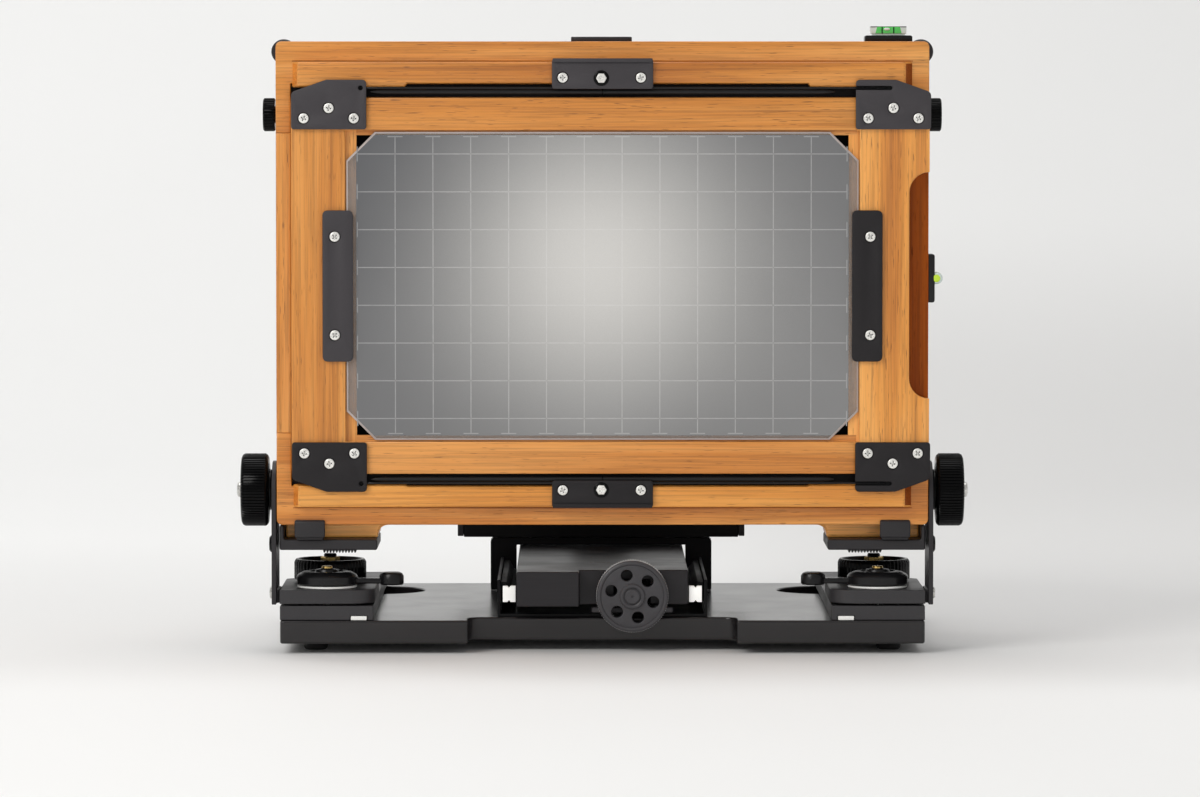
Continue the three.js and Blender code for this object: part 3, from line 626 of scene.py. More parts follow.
def soften(node, material, width=0.3, segments=2, angle=36):
    """Gives a CAD node its material, and rounded edges by modifiers that leave its mesh alone."""
    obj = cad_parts[node]
    mesh = obj.data
    if "custom_normal" in mesh.attributes:
        mesh.attributes.remove(mesh.attributes["custom_normal"])
    mesh.polygons.foreach_set("use_smooth", [True] * len(mesh.polygons))
    mesh.materials.clear()
    mesh.materials.append(material)
    weld = obj.modifiers.new("weld", "WELD")
    weld.merge_threshold = 0.000002
    flat = obj.modifiers.new("flat", "DECIMATE")
    flat.decimate_type = "DISSOLVE"
    flat.angle_limit = math.radians(0.4)
    bevel = obj.modifiers.new("bevel", "BEVEL")
    bevel.width = width * MM
    bevel.segments = segments
    bevel.limit_method = "ANGLE"
    bevel.angle_limit = math.radians(angle)
    bevel.use_clamp_overlap = False
    bevel.harden_normals = True
    bevel.miter_outer = "MITER_ARC"
    return obj


SIDES = (("right", 1), ("left", -1))


def both(side, a, b):
    """A span of X on the right, mirrored for the left, low end first."""
    return (a, b) if side > 0 else (-b, -a)


# ------------------------------------------------------------------ the wooden back

panel = Box("back_panel")
glass_frame = Box("glass_frame")
PROUD = 4.0  # how far the ribs stand out of the back
back = panel.y0 + PROUD  # the plane of the back's outer face
CHANNEL_DEPTH = 3.0
MARGIN = 0.2  # clearance of the glass frame in its channel
channel_left = glass_frame.x0 - MARGIN
channel_top, channel_bottom = glass_frame.z1 + MARGIN, glass_frame.z0 - MARGIN
RAIL_DROP = 36.6  # height of the back's level bars
OPENING = (-101.0, 101.0, 86.0, 210.0)
rail_top, rail_bottom = panel.z1 - RAIL_DROP, panel.z0 + RAIL_DROP + 0.3
CORNER = 2.2


def back_bar(name, deep, shallow, radii, material, replaces=()):
    """A bar of the back: a thick layer and the part of it that stands beside the channel."""
    piece = Piece(name, "rear_standard", "teak", material, replaces=replaces)
    piece.prism(rounded(deep, radii[0]), "y", back + CHANNEL_DEPTH, panel.y1, bevel=0.7, ends="high")
    if shallow:
        piece.prism(rounded(shallow, radii[1]), "y", back, back + CHANNEL_DEPTH, bevel=0.5, ends="low",
                    segments=3)
    return piece.done()


RIB = {"half": 124.0, "slope_left": 2.5, "slope_right": 3.4}
RIB_TOP = (panel.z1 - 8.0, panel.z1 - 18.4, 1.3)  # outer edge, inner edge, depth of the relief
RIB_BOTTOM = (panel.z0 + 7.0, panel.z0 + 16.4, 0.5)
groove_top = RIB_TOP[1] + RIB_TOP[2] + 0.3  # the springs' groove ends just under the ribs
groove_bottom = RIB_BOTTOM[1] - RIB_BOTTOM[2] - 0.3
groove_right = 122.0
x0, x1 = panel.x0, panel.x1
o0, o1, oz0, oz1 = OPENING
back_bar("back_rail_top",
         [(x0, rail_top), (o0, rail_top), (o0, oz1), (o1, oz1), (o1, rail_top), (x1, rail_top), (x1, panel.z1),
          (x0, panel.z1)],
         [(x0, rail_top), (channel_left, rail_top), (channel_left, groove_top), (groove_right, groove_top),
          (groove_right, channel_top), (x1, channel_top), (x1, panel.z1), (x0, panel.z1)],
         ([0, 0, 0, 0, 0, 0, CORNER, CORNER], [0, 0, 0.4, 0, 0, 0, CORNER, CORNER]),
         wood("teak_rail_top", "x", 1.3), replaces=("back_panel",))
# The bottom rail is tinted darker: painted shade below the lower rib.
back_bar("back_rail_bottom",
         [(x0, rail_bottom), (o0, rail_bottom), (o0, oz0), (o1, oz0), (o1, rail_bottom), (x1, rail_bottom),
          (x1, panel.z0), (x0, panel.z0)],
         [(x0, rail_bottom), (channel_left, rail_bottom), (channel_left, groove_bottom),
          (groove_right, groove_bottom), (groove_right, channel_bottom), (x1, channel_bottom), (x1, panel.z0),
          (x0, panel.z0)],
         ([0, 0, 0, 0, 0, 0, CORNER, CORNER], [0, 0, 0.4, 0, 0, 0, CORNER, CORNER]),
         wood("teak_rail_bottom", "x", 4.7, (0.95, 0.90, 0.84)))
back_bar("back_stile_left", rectangle(x0, o0, rail_bottom, rail_top), rectangle(x0, channel_left, rail_bottom, rail_top),
         (0, 0), wood("teak_stile_left", "z", 2.1))
# The right stile carries the notch's painted shade over its whole length.
back_bar("back_stile_right", rectangle(o1, x1, rail_bottom, rail_top), None, (0, 0), wood("teak_stile_right", "z", 8.4, NOTCH_SHADE))

def rib(name, edges_z, seed, tint=None):
    """A raised rib with sloped ends. Its spring-side edge is relieved along the middle."""
    piece = Piece(name, "rear_standard", "teak", wood("teak_" + name, "x", seed, tint),
                  wood(f"teak_{name}_left_end", "x", seed + 0.3, WARM_LIT_END),
                  wood(f"teak_{name}_right_end", "x", seed + 0.6, SHADED_END_GRAIN))
    half = RIB["half"]
    relief_left, relief_right = -79.0, 83.0
    z_outer, z_in, relief = edges_z
    towards = 1 if z_in > z_outer else -1
    z_rel = z_in - towards * relief
    base = [(-half, z_outer), (half, z_outer), (half, z_in), (relief_right, z_in), (relief_right - 1, z_rel),
            (relief_left + 1, z_rel), (relief_left, z_in), (-half, z_in)]
    slope = {0: RIB["slope_left"], 1: -RIB["slope_right"], 2: -RIB["slope_right"], 7: RIB["slope_left"]}
    bm = bmesh.new()
    low = [bm.verts.new((x, back + 0.4, z)) for x, z in base]
    inset = 0.35
    mid_z = (z_outer + z_in) / 2
    high = [bm.verts.new((x + slope.get(i, 0), panel.y0, z + (inset if z < mid_z else -inset)))
            for i, (x, z) in enumerate(base)]
    # Left ends take the painted warm light, right ends the darker end grain with painted shade.
    end_material = {0: 1, 2: 2}  # the sloped end faces, by the corner that closes them
    for i in range(len(base)):
        bm.faces.new((low[i - 1], low[i], high[i], high[i - 1])).material_index = end_material.get(i, 0)
    bm.faces.new(low)
    bm.faces.new(high)
    bmesh.ops.recalc_face_normals(bm, faces=bm.faces)
    edges = [bm.edges.get((high[i - 1], high[i])) for i in range(len(high))]
    edges += [bm.edges.get((low[i], high[i])) for i in (0, 1, 2, 7)]
    bmesh.ops.bevel(bm, geom=edges, offset=0.75, segments=3, profile=0.5, affect="EDGES", clamp_overlap=False)
    piece.take(bm, None)
    # A fine dark line where the rib's outer edge meets the back.
    line = sorted((z_outer, z_outer - towards * 0.3))
    piece.block(-half, half, back - 0.02, back + 0.3, line[0], line[1], 0.01, 1, 2)
    piece.done()


rib("rib_top", RIB_TOP, 5.2)
# The lower rib is tinted lighter: painted light on it, against the shade below.
rib("rib_bottom", RIB_BOTTOM, 6.9, (1.10, 1.12, 1.0))

rear_frame = Box("rear_frame")
pane = Box("ground_glass")
WINDOW = (-98.3, 98.3, 88.0, 208.0)
SEAT = (pane.x0 - 0.4, pane.x1 + 0.4, pane.z0 - 0.7, pane.z1 + 0.6)  # recess that the pane lies in
ledge = pane.y1 + 0.1
w0, w1, wz0, wz1 = WINDOW
joint = 101.6  # where the right stile meets the rails, under the corner plates
s0, s1, sz0, sz1 = SEAT
g = glass_frame
NOTCH = (122.6, 102.7, 193.2, 8.0)  # finger notch: how far in, its ends, its corner radius


def glass_bar(name, above, below, material, replaces=()):
    """A bar of the glass frame: the part above the pane's seat and the ledge below it."""
    piece = Piece(name, "glass_back", "teak", material, replaces=replaces)
    piece.prism(above, "y", g.y0, ledge, bevel=0.5, ends="low", segments=3)
    piece.prism(below, "y", ledge, g.y1, bevel=0.3, ends="high")
    return piece.done()


left_above = [(g.x0, g.z0), (w0, g.z0), (w0, sz0), (s0, sz0), (s0, sz1), (w0, sz1), (w0, g.z1), (g.x0, g.z1)]
glass_bar("glass_stile_left", rounded(left_above, [1.2, 0, 0, 0.4, 0.4, 0, 0, 1.2]),
          rounded(rectangle(g.x0, w0, g.z0, g.z1), [1.2, 0, 0, 1.2]), wood("teak_glass_left", "z", 3.4),
          replaces=("glass_frame",))
x, low, high, r = NOTCH
outer_side = [(g.x1, g.z0), (g.x1, low), *arc(x + r, low + r, r, -math.pi / 2, -math.pi, 8),
              *arc(x + r, high - r, r, math.pi, math.pi / 2, 8), (g.x1, high), (g.x1, g.z1)]
right_above = outer_side + [(joint, g.z1), (joint, sz1), (s1, sz1), (s1, sz0), (joint, sz0), (joint, g.z0)]
right_below = outer_side + [(joint, g.z1), (joint, wz1), (w1, wz1), (w1, wz0), (joint, wz0), (joint, g.z0)]
glass_bar("glass_stile_right", right_above, right_below, wood("teak_glass_right", "z", 7.7, PALE_TEAK))
glass_bar("glass_rail_top", rectangle(w0, joint, sz1, g.z1), rectangle(w0, joint, wz1, g.z1),
          wood("teak_glass_top", "x", 1.9))
glass_bar("glass_rail_bottom", rectangle(w0, joint, g.z0, sz0), rectangle(w0, joint, g.z0, wz0),
          wood("teak_glass_bottom", "x", 6.3, (0.95, 0.90, 0.86)))
# The rear frame's wood below the back panel is lifted by painted light.
soften("rear_frame", framed_wood("teak_rear_frame", 9.7, 111.9, panel.z0 + 0.2, panel.z1 - 10, LEG_PAINTED_LIGHT), 0.9, 3)
COVE = {"inner": 90.4, "radius": 4.0, "top": 50.9, "run": 4.6}
# Coves at the inner corners of the legs, lifted by the same painted light.
for side_name, side in SIDES:
    cove = Piece("leg_cove_" + side_name, "rear_standard", "teak", wood("teak_cove_" + side_name, "x", 9.7 + side, LEG_PAINTED_LIGHT))
    low, reach = COVE["top"] - COVE["radius"], COVE["inner"] - COVE["radius"]
    curve = arc(reach, low, COVE["radius"], 0.0, math.pi / 2, 10)
    outline = [(COVE["inner"] + 0.6, low), *curve, (reach - COVE["run"], COVE["top"] + 0.95),
               (reach - COVE["run"], COVE["top"] + 1.3), (COVE["inner"] + 0.6, COVE["top"] + 1.3)]
    cove.prism([(side * a, b) for a, b in outline], "y", rear_frame.y0 + 0.12, rear_frame.y1 - 0.12)
    cove.done()
lens_frame = Box("lens_frame")
soften("lens_frame", framed_wood("teak_lens_frame", 12.2, 42.0, lens_frame.z0 + 14, lens_frame.z1 - 14), 0.8, 3)

# Dark blocks on the floor of the spring channel, seen between the ribs and the glass frame: painted shade of the deep
# gap there.
channel_shade = Piece("channel_painted_shade", "rear_standard", "black_metal", DARK)
for z_a, z_b in ((channel_top + 0.1, groove_top - 0.1), (groove_bottom + 0.1, channel_bottom - 0.1)):
    channel_shade.block(channel_left + 0.1, groove_right - 0.1, back + CHANNEL_DEPTH - 1.0, back + CHANNEL_DEPTH + 0.2, z_a,
                 z_b, 0.12, 1)
channel_shade.done()

# Round bumpers behind the top corners.
for side_name, side in SIDES:
    bumper = Piece("bumper_" + side_name, "rear_standard", "black_metal", BLACK)
    bumper.lathe([(0, panel.y1 + 0.3), (4.4, panel.y1 + 0.3), (5, panel.y1 + 0.9), (5, panel.y1 + 5.2),
                  (4.4, panel.y1 + 5.8), (1.6, panel.y1 + 5.8), (1.2, panel.y1 + 5.2), (0, panel.y1 + 5.2)],
                 "y", (side * 128.0, panel.z1 - 4.0), 40)
    bumper.done()

# Hook clips that hold the bottom of the back.
for side_name, side in SIDES:
    hook = Piece("hook_" + side_name, "rear_standard", "black_metal", BLACK)
    a, b = both(side, 111.2, 123.4)
    outline = [(back - 2.0, 46.8), (back + 0.2, 46.8), (back + 0.2, 53.9), (back - 1.2, 53.9), (back - 2.0, 53.0)]
    hook.prism(rounded(outline, [0.8, 0, 0, 0.8, 1.0]), "x", a, b, bevel=0.8, segments=3)
    hook.block(a + 0.8, b - 0.8, back - 0.4, back + 14.0, 45.9, 47.4, 0.3)
    hook.done()

# ------------------------------------------------------------------ plates, screws and springs on the back

SCREW_RIM = 2.34


def screwed_plate(name, body, node, outline, screws, holes=(), bevel=0.35, black=PLATE_BLACK, slot_shade=None):
    """A flat plate on the glass frame with sunk cross-head screws. A dark strip in its wire slot, if given, is painted
    shade.
    """
    box = Box(node)
    piece = Piece(name, body, "black_metal", black, SCREW_STEEL, DARK, replaces=(node,))
    rims = [circle(x, z, SCREW_RIM, 26) for x, z in screws]
    piece.prism(outline, "y", box.y0, box.y1, holes=[*rims, *holes], bevel=bevel)
    for x, z in screws:
        piece.screw("y", -1, box.y0 + 0.15, x, z, 2.0, 1, 2, random.uniform(0, 1.5))
    # Dark strip in the wire slot: painted shade.
    if slot_shade:
        (x_a, x_b), (z_a, z_b) = slot_shade
        piece.block(x_a, x_b, box.y1 - 0.3, box.y1 + 0.02, z_a, z_b, 0.05, 1, 2)
    piece.done()


PLATE = {"cut_width": 14.0, "cut_height": 5.0, "row": 4.4, "end": 5.0, "middle": 8.5, "wire": 16.5}
for end, level in (("top", 1), ("bottom", -1)):
    for side_name, side in SIDES:
        node = f"corner_plate_{end}_{side_name}"
        box = Box(node)
        inner = box.x0 if side > 0 else box.x1
        edge = box.z0 if level > 0 else box.z1
        width, height = box.x1 - box.x0, box.z1 - box.z0

        def spot(a, b, inner=inner, edge=edge, side=side, level=level):
            return (inner + side * a, edge + level * b)
        outline = [spot(0, 0), spot(width, 0), spot(width, height - PLATE["cut_height"]),
                   spot(width - PLATE["cut_width"], height), spot(0, height)]
        radii = [1.0, 1.2, 2.0, 2.4, 1.6]
        holes = []
        wire = PLATE["wire"]
        if side > 0:
            slot = [spot(0, wire + 0.8), *[spot(a, wire + b) for a, b in arc(13.8, 0, 0.8, math.pi / 2, -math.pi / 2, 8)],
                    spot(0, wire - 0.8)]
            outline = rounded(outline, radii) + slot
            ends_x = (inner + 0.1, inner + 15.2)
        else:
            outline = rounded(outline, radii)
            holes = [circle(*spot(2.3, wire), 0.95, 16)]
            ends_x = (inner - 3.9, inner - 0.7)
        screws = [spot(PLATE["end"], PLATE["row"]), spot(width - PLATE["end"], PLATE["row"]),
                  spot(width / 2, PLATE["middle"])]
        # Bottom corner plates take the darker copy: painted shade.
        screwed_plate(node + "_plate", "glass_back", node, outline, screws, holes, 0.3,
                      PLATE_BLACK if end == "top" else PLATE_SHADED,
                      (ends_x, sorted(edge + level * (wire + b) for b in (-1.3, 1.3))))

for side_name, side in SIDES:
    node = "glass_clip_" + side_name
    box = Box(node)
    x = box.x1 - 4.9 if side > 0 else box.x0 + 4.9
    # The right clip takes the darker copy: painted shade.
    screwed_plate(node + "_plate", "glass_back", node, rounded(rectangle(box.x0, box.x1, box.z0, box.z1), 2.0),
                  [(x, 167.5), (x, 128.2)], black=PLATE_SHADED if side > 0 else PLATE_BLACK)

# Centre plates that hold the two long springs to the ribs.
SPRING_PLATE = 20.2
for end, level, z0, z1 in (("top", 1, 226.4, 238.6), ("bottom", -1, 59.1, 70.0)):
    # The bottom spring plate takes the darker copy: painted shade.
    piece = Piece("spring_plate_" + end, "rear_standard", "black_metal",
                  PLATE_BLACK if end == "top" else PLATE_SHADED, SCREW_STEEL, KNOB)
    screws = [(-15.9, (z0 + z1) / 2 - level * 1.6), (15.3, (z0 + z1) / 2 - level * 1.6)]
    rims = [circle(x, z, SCREW_RIM, 26) for x, z in screws]
    piece.prism(rounded(rectangle(-SPRING_PLATE, SPRING_PLATE, z0, z1), 1.2), "y", back - 6.1, back - 4.0,
                holes=rims, bevel=0.35)
    outer = z1 if level > 0 else z0
    lip = sorted((outer, outer - level * 1.6))
    piece.block(-SPRING_PLATE + 0.3, SPRING_PLATE - 0.3, back - 7.0, back - 4.2, lip[0], lip[1], 0.3, 2)
    for x, z in screws:
        piece.screw("y", -1, back - 5.95, x, z, 2.0, 1, 2, random.uniform(0, 1.5))
    z = (z0 + z1) / 2 - level * 1.8
    piece.lathe([(0, back - 5.8), (3.1, back - 5.8), (3.1, back - 6.3), (2.7, back - 6.6), (2.2, back - 6.6),
                 (2.2, back - 6.2), (0, back - 6.2)], "y", (-0.5, z), 36, material=2)
    piece.lathe([(0, back - 6.0), (2.1, back - 6.0), (2.1, back - 6.9), (1.7, back - 7.2), (1.0, back - 7.2),
                 (0.9, back - 6.6), (0, back - 6.6)], "y", (-0.5, z), 6, material=1)
    piece.done(smooth=40)

# Each long spring is two halves, held in the middle and pushed out with the glass frame at its ends.
for end, level, node, wire_z in (("top", 1, "spring_top", 226.8), ("bottom", -1, "spring_bottom", 68.95)):
    box = Box(node)
    for side_name, side in SIDES:
        start, stop = (0.0, box.cy, box.cz), (side * 92.0, box.cy, box.cz)
        piece = Piece(f"{node}_{side_name}", ("rear_standard", "glass_back", (side * SPRING_PLATE, box.cy, box.cz), stop),
                      "spring_steel", SPRING, LEVER, replaces=(node,))
        xs = [side * x for x in (0.2, 12, 24, 36, 48, 60, 70, 80, 88, 90.5, 92.6)]
        thick = [1.0] * 8 + [0.95, 0.7, 0.25]
        piece.tube([(x, box.cy - 0.2, box.cz) for x in xs], thick, 12)
        reach = 114.0 if side > 0 else 96.6
        xs = [side * x for x in (0.2, 12, 24, 36, 48, 60, 70, 80, 90, reach - 1.5, reach)]
        ys = [back - 4.6] * 10 + [back - 3.9]
        wire = [(x, y, wire_z) for x, y in zip(xs, ys)]
        if side < 0:
            wire += [(-96.9, back - 3.0, wire_z)]
        piece.tube(wire, 0.42, 8, 1)
        piece.done()

# ------------------------------------------------------------------ ground glass

CUT = 11.4
GLASS = ground_glass_material(WINDOW)


def octagon(inset):
    a, b, c, d = pane.x0 + inset, pane.x1 - inset, pane.z0 + inset, pane.z1 - inset
    k = CUT - inset * 0.2
    return [(a + k, c), (b - k, c), (b, c + k), (b, d - k), (b - k, d), (a + k, d), (a, d - k), (a, c + k)]


glass = Piece("ground_glass_pane", "glass_back", "ground_glass", GLASS, GLASS_EDGE, replaces=("ground_glass",))
bm = bmesh.new()
levels = [(0.0, pane.y1), (0.0, pane.y0 + 0.6), (0.65, pane.y0)]
rings = [[bm.verts.new((x, y, z)) for x, z in octagon(inset)] for inset, y in levels]
for k, (a, b) in enumerate(zip(rings, rings[1:])):
    for i in range(8):
        bm.faces.new((a[i - 1], a[i], b[i], b[i - 1])).material_index = 1
bm.faces.new(rings[0])
bm.faces.new(rings[-1])
glass.take(bm, None).done()

GRID = {"width": 0.42, "first_x": -82.8, "pitch": 15.1, "first_z": 200.5, "columns": 12, "rows": 8}
grid = Piece("ground_glass_grid", "glass_back", "ground_glass", RULING)
y0, y1 = pane.y0 - 0.025, pane.y0 + 0.02
w = GRID["width"] / 2
ends_x, ends_z = (-97.9, 97.6), (88.8, 207.4)
for k in range(GRID["columns"]):
    x = GRID["first_x"] + GRID["pitch"] * k
    grid.block(x - w, x + w, y0, y1, ends_z[0], ends_z[1], 0.008, 1)
    for z in ends_z:
        grid.block(x - 3, x + 3, y0, y1, z - w, z + w, 0.008, 1)
for k in range(GRID["rows"]):
    z = GRID["first_z"] - GRID["pitch"] * k
    grid.block(ends_x[0], ends_x[1], y0, y1, z - w, z + w, 0.008, 1)
    for x in ends_x:
        grid.block(x - w, x + w, y0, y1, z - 3, z + 3, 0.008, 1)
grid.done()

# A black card just inside the opening: painted shade, so that the corners beside the glass look into the dark.
shade_card = Piece("painted_shade_card", "rear_standard", "black_metal", DARK)
shade_card.prism(rounded(rectangle(-100.6, 100.6, 86.4, 209.6), 2.0), "y", panel.y1 - 3.0, panel.y1 - 2.0,
             holes=[rounded(rectangle(-88, 88, 98, 198), 6.0)], bevel=0.2)
shade_card.done()

# ------------------------------------------------------------------ bubble levels and top plate

top = Box("level_top")
level = Piece("level_top_block", "rear_standard", "black_metal", LEVER, CLEAR_BLOCK, VIAL, KNOB, WHITE_MARK,
              replaces=("level_top",))
base_top = top.z0 + 2.6
level.prism(rounded(rectangle(top.x0, top.x1, top.z0, base_top), [0, 0, 0.9, 0.9]), "y", top.y0, top.y1, bevel=0.4)
inner = (top.x0 + 2.4, top.x1 - 2.4)
level.block(inner[0] + 0.6, inner[1] - 0.6, top.y0 + 1.2, top.y1 - 1.2, base_top - 0.1, base_top + 0.75, 0.15, 1, 1)
level.prism([(inner[0], base_top + 0.7), (inner[1], base_top + 0.7), (inner[1], top.z1), (inner[0], top.z1)],
            "y", top.y0 + 0.6, top.y1 - 0.6, bevel=0.2, material=1)
level.prism([(inner[0] + 1.9, base_top + 0.75), (inner[1] - 1.9, base_top + 0.75), (inner[1] - 2.6, top.z1 - 0.15),
             (inner[0] + 2.6, top.z1 - 0.15)], "y", top.y0 + 0.45, top.y1 - 0.45, bevel=0.15, material=2)
level.block(inner[0] - 0.05, inner[1] + 0.05, top.y0 + 0.5, top.y1 - 0.5, top.z1 - 0.4, top.z1, 0.12, 1, 3)
for x in (top.cx - 2.6, top.cx + 2.1):
    level.block(x - 0.25, x + 0.25, top.y0 + 0.35, top.y1 - 0.35, base_top + 0.7, top.z1 - 0.3, 0.08, 1, 3)
level.tube([(top.cx - 1.9, top.y0 + 0.5, base_top + 2.5), (top.cx - 1.2, top.y0 + 0.42, base_top + 2.5),
            (top.cx - 0.2, top.y0 + 0.42, base_top + 2.5), (top.cx + 0.5, top.y0 + 0.5, base_top + 2.5)],
           [0.25, 0.55, 0.55, 0.25], 10, 4)
level.done()

side_box = Box("level_side")
level = Piece("level_side_block", "rear_standard", "black_metal", LEVER, VIAL_YELLOW, CLEAR_BLOCK, STEEL,
              replaces=("level_side",))
level.prism(rounded(rectangle(side_box.x0, side_box.x0 + 2.6, side_box.z0, side_box.z1), [0, 0.9, 0.9, 0]),
            "y", side_box.y0, side_box.y1, bevel=0.4)
level.lathe([(0, side_box.y0 + 0.4), (1.9, side_box.y0 + 0.4), (2.35, side_box.y0 + 0.9), (2.35, side_box.y1 - 0.9),
             (1.9, side_box.y1 - 0.4), (0, side_box.y1 - 0.4)], "y", (side_box.x0 + 3.45, side_box.cz), 32, material=2)
for low, high in ((side_box.y0, side_box.y0 + 0.6), (side_box.y1 - 0.6, side_box.y1)):
    level.lathe([(0, low), (1.3, low), (1.5, low + 0.15), (1.5, high - 0.15), (1.3, high), (0, high)], "y",
                (side_box.x0 + 3.3, side_box.cz), 28, material=1)
level.lathe([(2.36, side_box.cy - 3.2), (2.38, side_box.cy - 3.2), (2.38, side_box.cy + 3.2),
             (2.36, side_box.cy + 3.2)], "y", (side_box.x0 + 3.45, side_box.cz), 32, material=1)
for y in (side_box.y0 + 3.2, side_box.y1 - 3.2):
    level.lathe([(2.3, y - 0.25), (2.42, y - 0.25), (2.42, y + 0.25), (2.3, y + 0.25)], "y",
                (side_box.x0 + 3.45, side_box.cz), 32, material=0)
for z in (side_box.z0 + 3.4, side_box.z1 - 3.4):
    level.screw("x", 1, side_box.x0 + 2.6, side_box.cy, z, 1.5, 3, 0, 0.4, 0.6, 0.2)
level.done()

shoe_plate = Piece("accessory_plate", "rear_standard", "black_metal", BLACK, SCREW_STEEL, DARK)
shoe_plate.prism(rounded(rectangle(-12.6, 11.9, rear_frame.y0 + 1.5, rear_frame.y0 + 21.5), 2.0), "z", panel.z1,
                 panel.z1 + 2.0, holes=[circle(x, rear_frame.y0 + 11.5, SCREW_RIM, 24) for x in (-8.2, 7.5)], bevel=0.35)
for x in (-8.2, 7.5):
    shoe_plate.screw("z", 1, panel.z1 + 1.6, x, rear_frame.y0 + 11.5, 2.08, 1, 2, 0.5)
shoe_plate.done()

# ------------------------------------------------------------------ knobs on the sides of the back

for side_name, side in SIDES:
    node = "back_lock_" + side_name
    box = Box(node)
    face = box.x1 if side > 0 else box.x0
    near = box.x0 if side > 0 else box.x1
    knob = Piece(node + "_knob", "back_catch_" + side_name, "black_knob", KNOB, STEEL, replaces=(node,))
    body = face - side * 4.8
    knob.lathe([(0, near), (3.4, near), (3.4, body), (6.2, body, 1), (6.7, body + side * 0.4, 1), (6.7, face - side * 0.5, 1),
                (6.1, face, 0), (3.2, face), (3.0, face - side * 0.4), (0, face - side * 0.4)],
               "x", (box.cy, box.cz), ridges=30, depth=0.42)
    knob.done()

    node = "tilt_knob_" + side_name
    box = Box(node)
    face = box.x1 if side > 0 else box.x0
    near = box.x0 if side > 0 else box.x1
    arm = Box("side_arm_" + side_name)
    start = (arm.x1 if side > 0 else arm.x0) + side * 0.3
    knob = Piece(node + "_turned", "tilt_lock_" + side_name, "black_knob", KNOB, STEEL, replaces=(node,))
    r = (box.z1 - box.z0) / 2
    knob.lathe([(0, near), (2, near), (2, start), (7.5, start), (8.2, start + side * 0.4), (8.2, start + side * 0.9),
                (10.6, start + side * 1.1), (r - 1.6, start + side * 1.3), (r - 0.7, start + side * 1.7, 1),
                (r, start + side * 2.5, 1), (r, face - side * 1.5, 1), (r - 0.5, face - side * 0.5, 1),
                (r - 1.5, face, 0), (r - 3.2, face), (r - 3.8, face - side * 0.5), (8.4, face - side * 0.5),
                (8.0, face - side * 0.1), (6.2, face - side * 0.1), (5.6, face - side * 0.9), (0, face - side * 0.9)],
               "x", (box.cy, box.cz), ridges=72, depth=0.5)
    knob.lathe([(0, face - side * 1.2), (3.1, face - side * 1.2), (3.1, face + side * 1.1), (2.7, face + side * 1.7),
                (1.9, face + side * 2.0), (0, face + side * 2.0)], "x", (box.cy, box.cz), 36, material=1)
    knob.done()

# ------------------------------------------------------------------ rear brackets

